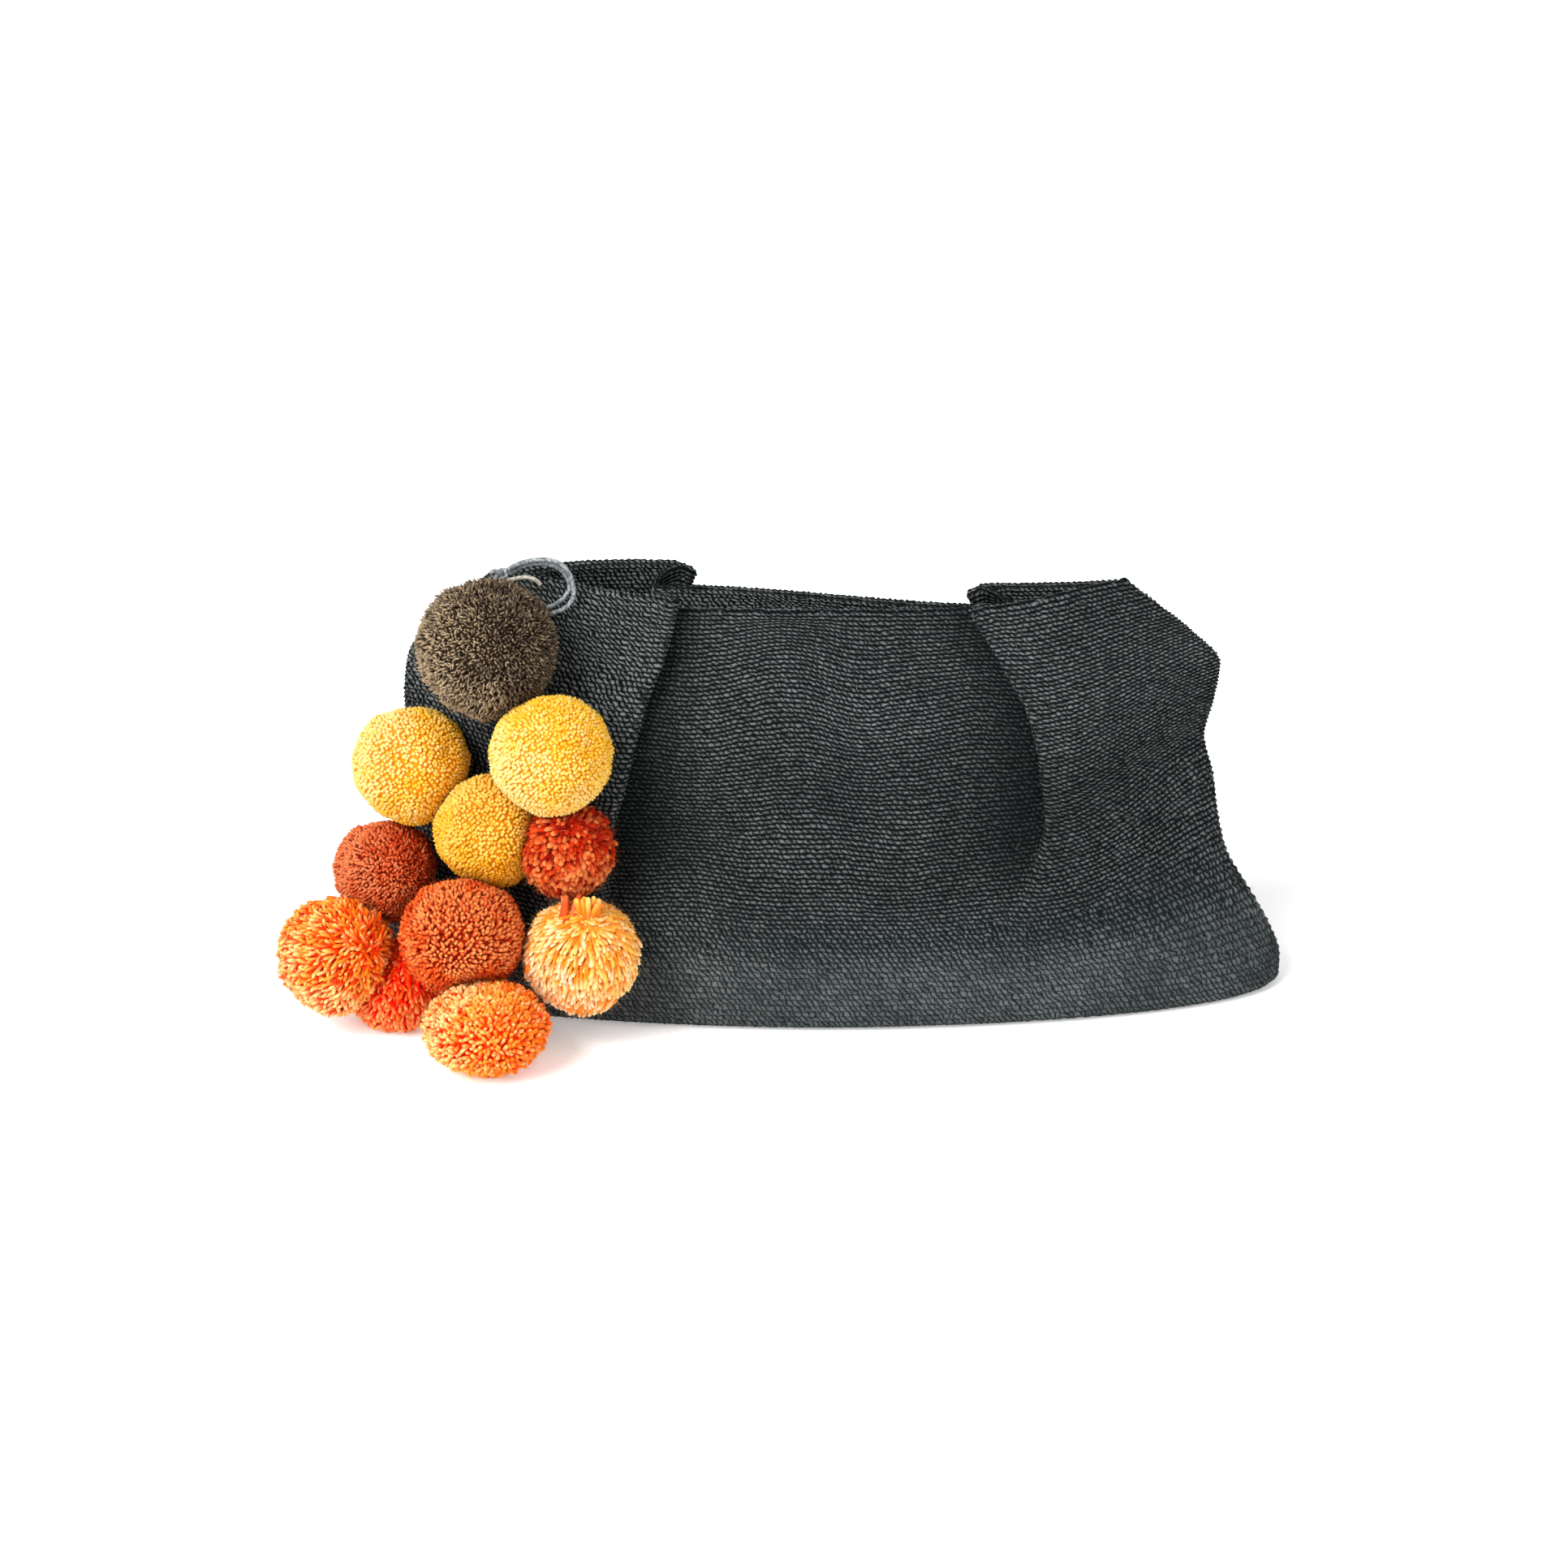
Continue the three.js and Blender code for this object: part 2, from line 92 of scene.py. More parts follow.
# The bag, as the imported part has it.
WIDTH = 340 * MM
HEIGHT = 148 * MM
DEPTH = 104 * MM
EAR_RISE = 9 * MM
WALL = 2.4 * MM
PLEAT_LAP = 8 * MM
PLEAT_STEP = 3.5 * MM
RIPPLE = 1.6 * MM
HALF_WIDTH = WIDTH / 2
HALF_DEPTH = DEPTH / 2

# Rows of the bag from the base up, as shares of the sizes above: rise of HEIGHT, lift of
# EAR_RISE, left, right and the folds of HALF_WIDTH, front, back and lean of HALF_DEPTH,
# lap of PLEAT_LAP and step of PLEAT_STEP.
ROW_NAMES = (
    "rise", "lift", "left", "right", "front", "back", "lean", "fold_left", "fold_right",
    "lap", "step",
)
ROWS = np.array([
    (0.000, 0.00, 0.955, 0.985, 0.885, 0.84, 0.00, -0.500, 0.400, 0.00, 0.00),
    (0.018, 0.00, 0.985, 1.010, 0.975, 0.92, 0.00, -0.500, 0.400, 0.00, 0.00),
    (0.060, 0.00, 1.000, 1.010, 1.000, 0.94, 0.00, -0.500, 0.400, 0.00, 0.00),
    (0.135, 0.10, 0.980, 0.985, 0.970, 0.91, 0.00, -0.490, 0.400, 0.00, 0.08),
    (0.215, 0.45, 0.925, 0.935, 0.925, 0.86, 0.02, -0.480, 0.410, 0.05, 0.30),
    (0.295, 0.75, 0.895, 0.885, 0.875, 0.81, 0.04, -0.470, 0.430, 0.16, 0.55),
    (0.385, 1.00, 0.885, 0.862, 0.815, 0.75, 0.07, -0.460, 0.460, 0.24, 0.75),
    (0.480, 1.15, 0.888, 0.848, 0.740, 0.67, 0.11, -0.450, 0.485, 0.36, 0.90),
    (0.580, 1.20, 0.888, 0.826, 0.660, 0.57, 0.16, -0.440, 0.495, 0.68, 1.00),
    (0.680, 1.20, 0.890, 0.843, 0.560, 0.46, 0.22, -0.425, 0.490, 0.80, 1.00),
    (0.775, 1.15, 0.882, 0.854, 0.455, 0.35, 0.28, -0.405, 0.470, 0.90, 1.00),
    (0.865, 1.05, 0.836, 0.792, 0.350, 0.25, 0.32, -0.375, 0.430, 1.00, 1.00),
    (0.940, 1.00, 0.765, 0.715, 0.270, 0.17, 0.36, -0.355, 0.390, 1.00, 1.00),
    (1.000, 1.00, 0.695, 0.648, 0.235, 0.13, 0.38, -0.345, 0.360, 1.00, 1.00),
])

# Each ear's height at its pleat and at its side fold, as shares of EAR_RISE, and its
# pleat's shift along the wall, as a share of HALF_WIDTH.
EARS = {
    ("front", "left"): (0.72, 1.25, 0.0),
    ("front", "right"): (0.30, 0.85, 0.0),
    ("back", "left"): (0.80, 1.15, 0.030),
    ("back", "right"): (0.65, 0.85, 0.0),
}
EAR_START = 0.5               # where up the wall the ears begin to rise
EAR_PUFF = 1.15               # how soon a side stands out as far as its pleat
STEP_END = 0.9                # where in the pleat, from -1 to 1, the ear's rise has run out
STEP_RUN = 1.1                # and over how much of it
BACK_RIM_SLOPE = 0.035        # how the back rim falls from left to right
CORNER_DROP = {"front": 1.6 * MM, "back": 2.6 * MM}  # how far the rim sinks at a pleat's turn
CORNER_FROM = 0.88            # from what height on it does
CORNER_BREADTH = 0.07         # over what share of the side beyond the pleat
CORNER_BEFORE = 0.75          # the share of the drop that is reached before the pleat

# Soft waves of the middle panels: place, height, breadth, tall and push outward.
RIPPLES = (
    (-0.04, 0.55, 0.09, 0.40, 1.0),
    (0.12, 0.55, 0.09, 0.40, -1.0),
    (-0.26, 0.60, 0.09, 0.40, -0.9),
    (0.30, 0.62, 0.08, 0.35, -0.8),
)

# The plan of a row: full and square at the base, a pointed lens higher up.
BASE_LENS = (1.8, 0.48)
WALL_LENS = (2.2, 0.8)
LENS_FROM = 0.3

# How a pleat runs back on itself and where it steps outward.
FOLD_BACK = 3.0               # how strongly it runs back where it laps in full
TURN = 0.66                   # over how much of the pleat each turn steps outward
TURN_AT = 0.65                # where the turns lie, either side of its middle
LAPPED_START = 0.38           # the lap from which it steps at its turns
LAPPED_FULL = 0.66            # and from which it does so alone

# The crochet.
COURSE = 1.68 * MM            # from one row of stitches to the next, high up the wall
COURSE_LOW = 2.15 * MM        # and at the base, where the stitches are larger
COURSE_EVEN_FROM = 55 * MM    # how far up the cloth they reach the smaller size
STITCH = 2.15 * MM            # from one stitch to the next in a row
LEANING = 0.75                # stitches that each row is set on from the row below
RIDGE = 0.30 * MM             # how far a row stands out, and its gap lies in
NUB = 0.14 * MM               # how far a stitch stands out of its row
UNEVEN = 0.08 * MM            # chance differences from stitch to stitch
RIM_ROLL = 0.45 * MM          # how much thicker the last rows are
RIM_NUB = 0.30 * MM           # how far each stitch of the rim stands out
RIM_ROWS = 2.5                # the rows that thicken towards the rim
CROCHET_SEED = 7

# How the courses wander: arches, each with its place along the wall, height, breadth, tall
# and how far up, and how near the rim the courses lie true again.
ARCHES = (
    (-12 * MM, 134 * MM, 19 * MM, 38 * MM, 4.6 * MM),
    (-6 * MM, 92 * MM, 20 * MM, 42 * MM, 3.4 * MM),
    (14 * MM, 118 * MM, 13 * MM, 50 * MM, -2.6 * MM),
    (-46 * MM, 112 * MM, 14 * MM, 50 * MM, -2.0 * MM),
    (-48 * MM, 56 * MM, 16 * MM, 45 * MM, 2.2 * MM),
    (28 * MM, 62 * MM, 16 * MM, 40 * MM, -2.0 * MM),
    (56 * MM, 118 * MM, 15 * MM, 45 * MM, 2.4 * MM),
    (170 * MM, 88 * MM, 62 * MM, 82 * MM, 20 * MM),
)
RIM_CALM = 8 * MM

# The painted shade at a pleat, which the weave's third number holds with the sides and the inside.
VALLEY = 0.30                 # how far it reaches into the middle panel, as a share of it
VALLEY_FROM = 0.2             # the share of the cloth's height where it begins
VALLEY_FULL = 0.5             # and where it is full
FOLD_SHADE = 0.4              # its share on the ear where the pleat turns
FOLD_REACH = 0.12             # how far it reaches over the ear, as a share of it
FOLD_TURN = 0.9               # how early in the pleat it deepens
INSIDE_MARK = 2.0             # the weave's third number inside

# The grid over one wall: lines over a row of stitches, and columns over the side beyond a
# pleat, the pleat and the middle panel.
GRID_PER_COURSE = 2
LEFT_COLUMNS = 88
PLEAT_COLUMNS = 30
MIDDLE_COLUMNS = 142
RIGHT_COLUMNS = 94
BASE_LINES = 16               # lines over the flat base, from its spine to its edge
SPINE = 0.6                   # how long the spine is, as a share of the base
RIM_LINES = 8                 # lines round the rim
INSIDE_SKIP = 5               # the grid inside takes every fifth line, below the rim
INSIDE_FINE = 10              # and every line over this many next to the rim
APART = 0.25 * MM             # half the gap between the walls' inner faces

# Fine hairs standing off the crochet.
HAIRS = 5000
HAIR_LENGTH = 3.0 * MM
HAIR_RADIUS = 0.045 * MM
HAIR_ROOT = 0.2 * MM          # how deep they start in the cloth
HAIR_CLEAR = 0.4 * MM         # how far their tips keep above the floor
HAIR_RINGS = ((0.0, 1.0), (0.5, 0.9))         # share of a hair, and of its radius
HAIR_SIDES = 3
HAIR_SEED = 11


def smooth(value):
    """An S curve from 0 to 1: t * t * (3 - 2 * t) of the value held between 0 and 1."""
    t = np.clip(value, 0.0, 1.0)
    return t * t * (3.0 - 2.0 * t)


def blend(a, b, share):
    """From a at share 0 to b at share 1, in a straight line."""
    return a + (b - a) * share


def rows_at(rise):
    """Each column of ROWS at these heights, by name, on cubic curves through the rows that
    don't overshoot: the slope at a row is the harmonic mean of the slopes on its two sides,
    and 0 where they differ in sign."""
    at = ROWS[:, 0]
    run = np.diff(at)[:, None]
    slope = np.diff(ROWS, axis=0) / run
    before, after = slope[:-1], slope[1:]
    same = before * after > 0
    middle = np.where(same, 2 * before * after / np.where(same, before + after, 1.0), 0.0)
    tangent = np.concatenate([slope[:1], middle, slope[-1:]])
    low = np.clip(np.searchsorted(at, rise, side="right") - 1, 0, len(at) - 2)
    gap = run[low]
    t = (rise - at[low])[:, None] / gap
    a = ROWS[low] * (1 + 2 * t) * (1 - t) ** 2 + tangent[low] * gap * t * (1 - t) ** 2
    b = ROWS[low + 1] * t * t * (3 - 2 * t) + tangent[low + 1] * gap * t * t * (t - 1)
    return a + b


def plan(share, rise):
    """A row's outline in plan, 1 in the middle and 0 at the side fold:
    (1 - |share| ** power) ** round, with the powers turning from the base's to the wall's."""
    turned = smooth(rise / LENS_FROM)
    power = blend(BASE_LENS[0], WALL_LENS[0], turned)
    rounding = blend(BASE_LENS[1], WALL_LENS[1], turned)
    return np.maximum(0.0, 1.0 - np.abs(share) ** power) ** rounding


def fold_run(t, lap):
    """Where a pleat's cloth runs along the wall for t from -1 to 1: forward, back over
    itself by lap, and forward again: t - FOLD_BACK * lap * (t - 2 t^3 / 3 + t^5 / 5)."""
    return PLEAT_LAP * (t - FOLD_BACK * lap * (t - 2 * t ** 3 / 3 + t ** 5 / 5))


def fold_step(t, lap):
    """The pleat's step outward: one slope where it is slack, half at each turn where it
    laps over."""
    slack = 1 - smooth((t + 1) / 2)
    turns = 1 - smooth((t + TURN_AT) / TURN + 0.5) / 2 - smooth((t - TURN_AT) / TURN + 0.5) / 2
    return blend(slack, turns, smooth((lap - LAPPED_START) / (LAPPED_FULL - LAPPED_START)))


def wall_columns():
    """The zone (-2 left side, -1 left pleat, 0 middle, 1 right pleat, 2 right side) and the
    place within it of each column of one wall, from the left side fold to the right."""
    left = np.arange(LEFT_COLUMNS) / LEFT_COLUMNS
    pleat = np.linspace(-1, 1, PLEAT_COLUMNS)
    middle = np.arange(1, MIDDLE_COLUMNS) / MIDDLE_COLUMNS
    right = np.arange(RIGHT_COLUMNS)[::-1] / RIGHT_COLUMNS
    along = np.concatenate([left, pleat, middle, pleat[::-1], right])
    sizes = [len(left), len(pleat), len(middle), len(pleat), len(right)]
    return np.repeat([-2, -1, 0, 1, 2], sizes), along


def cloth_middle(rise, zone, along, wall):
    """The cloth's middle surface at these heights and columns, wall being front or back.
    Every argument but the wall is an array of the same shape."""
    face = -1.0 if wall == "front" else 1.0
    table = dict(zip(ROW_NAMES, rows_at(rise.ravel()).T.reshape(len(ROW_NAMES), *rise.shape)))
    hand = np.sign(zone)
    leftward = hand < 0
    ear_left, ear_right = EARS[wall, "left"], EARS[wall, "right"]
    ear_step = np.where(leftward, ear_left[0], ear_right[0])
    ear_corner = np.where(leftward, ear_left[1], ear_right[1])
    ear_share = smooth((rise - EAR_START) / (1 - EAR_START))

    def fold_at(side, t):
        place = table["fold_left"] + ear_left[2] if side < 0 else table["fold_right"] + ear_right[2]
        return place * HALF_WIDTH - side * fold_run(t, table["lap"])

    def own_fold(t):
        return np.where(leftward, fold_at(-1, t), fold_at(1, t))

    spread = 1 - np.cos(along * math.pi / 2)
    edge = np.where(leftward, -table["left"], table["right"]) * HALF_WIDTH
    side_x = blend(edge, own_fold(-1.0), spread)
    side_out = 2 * PLEAT_STEP * table["step"] * smooth(spread * EAR_PUFF)
    corner = table["lift"] * blend(1.0, ear_corner, ear_share)
    side_up = EAR_RISE * blend(corner, ear_step * ear_share, smooth(spread))

    fold_out = 2 * PLEAT_STEP * table["step"] * fold_step(along, table["lap"])
    fold_up = EAR_RISE * ear_step * ear_share * smooth((STEP_END - along) / STEP_RUN)
    corner_drop = CORNER_DROP[wall] * smooth((rise - CORNER_FROM) / (1 - CORNER_FROM))
    side_up = side_up - corner_drop * CORNER_BEFORE * smooth(1 - (1 - spread) / CORNER_BREADTH)
    before = blend(CORNER_BEFORE, 1.0, smooth((along + 1) / (1 - TURN_AT)))
    after = smooth(1 - 2 * (along + TURN_AT))
    fold_up = fold_up - corner_drop * np.where(along < -TURN_AT, before, after)

    middle_x = blend(fold_at(-1, 1.0), fold_at(1, 1.0), along)
    middle_out = np.zeros_like(rise)
    for place, height, breadth, tall, push in RIPPLES:
        away = (middle_x / HALF_WIDTH - place) / breadth
        over = np.abs(rise - height) / tall
        middle_out += RIPPLE * push * np.exp(-away * away) * smooth(1 - over)

    is_side, is_fold = np.abs(zone) == 2, np.abs(zone) == 1
    x = np.where(is_side, side_x, np.where(is_fold, own_fold(along), middle_x))
    out = np.where(is_side, side_out, np.where(is_fold, fold_out, middle_out))
    up = np.where(is_side, side_up, np.where(is_fold, fold_up, 0.0))
    share = x / (np.where(x < 0, table["left"], table["right"]) * HALF_WIDTH)
    shape = plan(share, rise)
    bulge = table["front" if face < 0 else "back"] * HALF_DEPTH * shape
    y = face * (bulge + out * (np.abs(share) < 1))
    z = WALL / 2 + rise * (HEIGHT - WALL / 2) + up
    if face > 0:
        y = y - table["lean"] * HALF_DEPTH * share * shape * shape
        z = z - BACK_RIM_SLOPE * x * ear_share * shape
    return np.stack([x, y, z], axis=-1)


def wander(x, height):
    """How far up a course runs from its level, at these places along and up the cloth: a
    sum of soft bells."""
    rise = np.zeros(np.broadcast(x, height).shape)
    for place, level, breadth, tall, lift in ARCHES:
        over = np.abs(height - level) / tall
        rise = rise + lift * np.exp(-((x - place) / breadth) ** 2) * smooth(1 - over)
    return rise


def cloth_lengths():
    """The height, the distance up the cloth of the front's middle and the number of courses
    up to there, as three arrays: the length of the line, and the sum of each step of it
    over the course's size there."""
    rise = np.linspace(0, 1, 400)
    still = np.zeros_like(rise)
    line = cloth_middle(rise, still, still + 0.5, "front")
    steps = np.linalg.norm(np.diff(line, axis=0), axis=1)
    up_cloth = np.concatenate([[0.0], np.cumsum(steps)])
    size = blend(COURSE_LOW, COURSE, smooth(up_cloth / COURSE_EVEN_FROM))
    courses = np.concatenate([[0.0], np.cumsum(steps / size[1:])])
    return rise, up_cloth, courses


def unit(vectors):
    """The vectors at length 1."""
    return vectors / np.maximum(np.linalg.norm(vectors, axis=-1, keepdims=True), 1e-12)


def wall_points(wall, level, zones, alongs):
    """One wall's middle surface on lines from the base's spine up to the rim. Level holds
    each line's distance up the cloth, from which the courses wander."""
    rise, up_cloth, _ = cloth_lengths()
    calm = smooth((up_cloth[-1] - level) / RIM_CALM) * smooth(level / RIM_CALM)
    straight = np.broadcast_to(np.interp(level, up_cloth, rise), zones.shape)
    flat = cloth_middle(straight, zones, alongs, wall)
    height = level + wander(flat[..., 0], level) * calm
    points = cloth_middle(np.interp(height, up_cloth, rise), zones, alongs, wall)
    spine = points[0] * (SPINE, 0, 1)
    part = (np.arange(BASE_LINES) / BASE_LINES)[:, None, None]
    return np.concatenate([blend(spine, points[0], part), points])


def shade_marks(zone, along, height):
    """The weave's third number over one wall: 1 on the sides beyond the pleats, 0 in the
    middle panel, and down to -1 where shade is painted at the pleats. Height is each line's
    share of the cloth's height."""
    in_pleat, in_middle = np.abs(zone) == 1, zone == 0
    side = np.clip(np.abs(zone) + np.where(in_pleat, -0.5 - 0.5 * along, 0), 0, 1)
    # Painted shade: the colour darkens in the middle panel next to each pleat, in the pleat and on the
    # ear where it turns, from part way up the cloth.
    from_fold = np.where(in_middle, np.minimum(along, 1 - along) / VALLEY, 0)
    on_ear = FOLD_SHADE * smooth((along - 1 + FOLD_REACH) / FOLD_REACH) * (np.abs(zone) == 2)
    painted_shade = smooth(1 - from_fold) * in_middle + on_ear
    painted_shade = np.where(in_pleat, blend(FOLD_SHADE, 1.0, smooth(along + FOLD_TURN)), painted_shade)
    deep = smooth((height - VALLEY_FROM) / (VALLEY_FULL - VALLEY_FROM))
    return side - painted_shade * deep[:, None]


def cloth_ring():
    """The grid of the whole bag's middle surface, lines from the base's spine up to the rim
    and columns round it: the front left to right, then the back right to left. With it come
    the directions out of the cloth and the weave: stitches along, courses up and the mark
    that holds the sides, the inside and the painted shade at the pleats."""
    zone, along = wall_columns()
    _, up_cloth, courses = cloth_lengths()
    count = np.linspace(0, courses[-1], round(courses[-1]) * GRID_PER_COURSE + 1)
    level = np.interp(count, courses, up_cloth)
    shape = (len(level), len(zone))
    zones, alongs = np.broadcast_to(zone, shape), np.broadcast_to(along, shape)
    front, back = (wall_points(wall, level[:, None], zones, alongs) for wall in ("front", "back"))
    ring = np.concatenate([front, back[:, -2:0:-1]], axis=1)

    across = np.roll(ring, -1, axis=1) - np.roll(ring, 1, axis=1)
    normal = unit(np.cross(across, np.gradient(ring, axis=0)))
    normal[ring[..., 2] <= WALL / 2 + 1e-7] = (0, 0, -1)

    steps = np.linalg.norm(np.diff(ring, axis=1, append=ring[:, :1]), axis=-1)
    run = np.cumsum(steps, axis=1) - steps
    stitches = (run - run[:, [len(zone) // 2]]) / STITCH
    lines = np.concatenate([np.linspace(-BASE_LINES, 0, BASE_LINES, endpoint=False), count])
    height = np.concatenate([np.zeros(BASE_LINES), level]) / up_cloth[-1]
    marks = shade_marks(zone, along, height)
    marks = np.concatenate([marks, marks[:, -2:0:-1]], axis=1)
    weave = np.stack(np.broadcast_arrays(stitches, lines[:, None], marks), axis=-1)
    return ring, normal, weave


def crochet_relief(weave, chance):
    """How far the crochet stands out of the cloth's face: rows as ridges with gaps between,
    stitches as nubs along them, each row LEANING stitches on, and chance unevenness. The
    last rows roll into the rim."""
    stitches, courses = weave[..., 0], weave[..., 1]
    ridge = -np.cos(2 * math.pi * courses)
    nub = -np.cos(2 * math.pi * (stitches + LEANING * courses)) * (0.5 + 0.5 * ridge)
    relief = RIDGE * ridge + NUB * nub + UNEVEN * chance.standard_normal(courses.shape)
    last = smooth((courses - courses.max() + RIM_ROWS) / RIM_ROWS)
    relief = relief + last * (RIM_ROLL - RIM_NUB * np.cos(2 * math.pi * stitches))
    return np.where(courses < 0, 0.0, relief)


def inner_face(ring, normal, relief, lines):
    """The inner face on some lines of the ring, with the two walls' faces held apart."""
    bumps = np.where(np.arange(len(lines))[:, None] < INSIDE_FINE, relief[lines], 0.0)
    inner = ring[lines] - normal[lines] * (WALL / 2 + bumps)[..., None]
    inner[..., 2] = np.maximum(inner[..., 2], WALL)
    column = np.arange(ring.shape[1])
    half = len(column) // 2
    middle = (ring[lines, :, 1] + ring[lines][:, -column % len(column), 1]) / 2
    y = inner[..., 1]
    held = np.where(column <= half, np.minimum(y, middle - APART), np.maximum(y, middle + APART))
    inner[..., 1] = np.where((column % half == 0) | (lines[:, None] == 0), y, held)
    return inner


def crochet_halves():
    """The hairs' roots with their directions, and the front and back halves of the bag, each
    with its points and weave. A half is a closed shell: from the base's spine out and up the
    outer face, over the round rim, down the inner face and back to the spine."""
    chance = np.random.default_rng(CROCHET_SEED)
    ring, normal, weave = cloth_ring()
    relief = crochet_relief(weave, chance)
    outer = ring + normal * (WALL / 2 + relief)[..., None]
    outer[..., 2] = np.where(weave[..., 1] < 0, 0.0, np.maximum(outer[..., 2], 0.0))

    upward = unit(ring[-1] - ring[-3])
    turn = np.linspace(0, math.pi, RIM_LINES + 2)[1:-1, None, None]
    swell = WALL / 2 + relief[-1]
    rim = ring[-1] + (normal[-1] * np.cos(turn) + upward * np.sin(turn)) * swell[:, None]

    top = len(ring) - 1
    fine = np.arange(top, top - INSIDE_FINE, -1)
    lines = np.concatenate([fine, np.arange(top - INSIDE_FINE, 0, -INSIDE_SKIP), [0]])
    points = np.concatenate([outer, rim, inner_face(ring, normal, relief, lines)])
    over_rim = weave[-1] + np.linspace(0, 2, RIM_LINES)[:, None, None] * (0, 1, 0)
    inside = weave[lines] * (1, 1, 0) + (0, 0, INSIDE_MARK)
    pattern = np.concatenate([weave, over_rim, inside])

    columns = ring.shape[1]
    half = columns // 2
    lines_at = chance.integers(BASE_LINES + 1, len(ring), HAIRS)
    columns_at = chance.integers(0, columns, HAIRS)
    hairs = outer[lines_at, columns_at], normal[lines_at, columns_at]
    closing = 2 * pattern[:, -1:] - pattern[:, -2:-1]
    back_points = np.concatenate([points[:, half:], points[:, :1]], axis=1)
    back_pattern = np.concatenate([pattern[:, half:], closing], axis=1)
    return hairs, {
        "crochet_front": (points[:, : half + 1], pattern[:, : half + 1]),
        "crochet_back": (back_points, back_pattern),
    }


def grid_faces(lines, columns, close_lines=False, close_columns=False):
    """The four-sided faces of a grid of points numbered line by line."""
    r = np.arange(lines if close_lines else lines - 1)[:, None]
    c = np.arange(columns if close_columns else columns - 1)[None, :]
    r_next, c_next = (r + 1) % lines, (c + 1) % columns
    corners = (r * columns + c, r * columns + c_next, r_next * columns + c_next, r_next * columns + c)
    return np.stack(np.broadcast_arrays(*corners), axis=-1).reshape(-1, 4)


def add_mesh(name, points, faces, material, attributes=None):
    """A smooth mesh from an array of points and lists of faces, with point attributes."""
    mesh = bpy.data.meshes.new(name)
    mesh.from_pydata(points.reshape(-1, 3).tolist(), [], faces)
    mesh.update()
    mesh.polygons.foreach_set("use_smooth", np.ones(len(mesh.polygons), bool))
    for key, values in (attributes or {}).items():
        layer = mesh.attributes.new(key, "FLOAT_VECTOR", "POINT")
        layer.data.foreach_set("vector", np.ascontiguousarray(values, np.float32).ravel())
    mesh.materials.append(material)
    piece = bpy.data.objects.new(name, mesh)
    bpy.context.scene.collection.objects.link(piece)
    return piece


def build_hairs(roots, normals, material):
    """Fine hairs of the sisal that stand off the crochet at all slants."""
    chance = np.random.default_rng(HAIR_SEED)
    ways = unit(normals * 0.6 + 0.6 * chance.standard_normal(roots.shape))
    length = HAIR_LENGTH * (0.3 + 1.2 * chance.random(len(roots)) ** 2)
    tips = roots + ways * length[:, None]
    tips[:, 2] = np.maximum(tips[:, 2], HAIR_CLEAR)
    bend = 0.35 * length[:, None] * chance.standard_normal(roots.shape)
    bend[:, 2] = np.abs(bend[:, 2])
    radius = HAIR_RADIUS * (0.7 + 0.8 * chance.random(len(roots)) ** 4)
    roots = roots - normals * HAIR_ROOT
    points, faces = spikes(roots, tips, radius, bend, HAIR_RINGS, HAIR_SIDES)[:2]
    piece = add_mesh("crochet_hairs", points, faces, material)
    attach(piece, BODY)


def build_bag(crochet, stray):
    """Both halves of the bag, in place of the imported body, and the hairs on them, with the
    materials of the crochet and of the stray hairs."""
    hairs, halves = crochet_halves()
    build_hairs(*hairs, stray)
    for name, (points, pattern) in halves.items():
        lines, columns = points.shape[:2]
        faces = grid_faces(lines, columns, close_lines=True).tolist()
        first = (np.arange(lines) * columns).tolist()
        last = (np.arange(lines) * columns + columns - 1)[::-1].tolist()
        piece = add_mesh(name, points, faces + [first, last], crochet, {"weave": pattern})
        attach(piece, BODY)
        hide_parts("bag_body")


class Ball(NamedTuple):
    """A pompom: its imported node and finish, and how its wool lies. Lengths in millimetres."""

    node: str
    slot: str
    ends: int                 # how many yarn ends it has
    thick: float              # their radius
    uneven: float             # how far they vary in reach
    lean: float               # how much they lean and bend
    long: float               # how long they are
    core: float               # the core's share of the imported ball
    # Painted light: the wool is painted paler toward this way, as where the light falls on the ball.
    painted_light_way: tuple           # the way in which the wool gets paler
    crown: tuple = (0, -1, 0)  # what the ends are combed away from
    comb: float = 0.0         # and how much


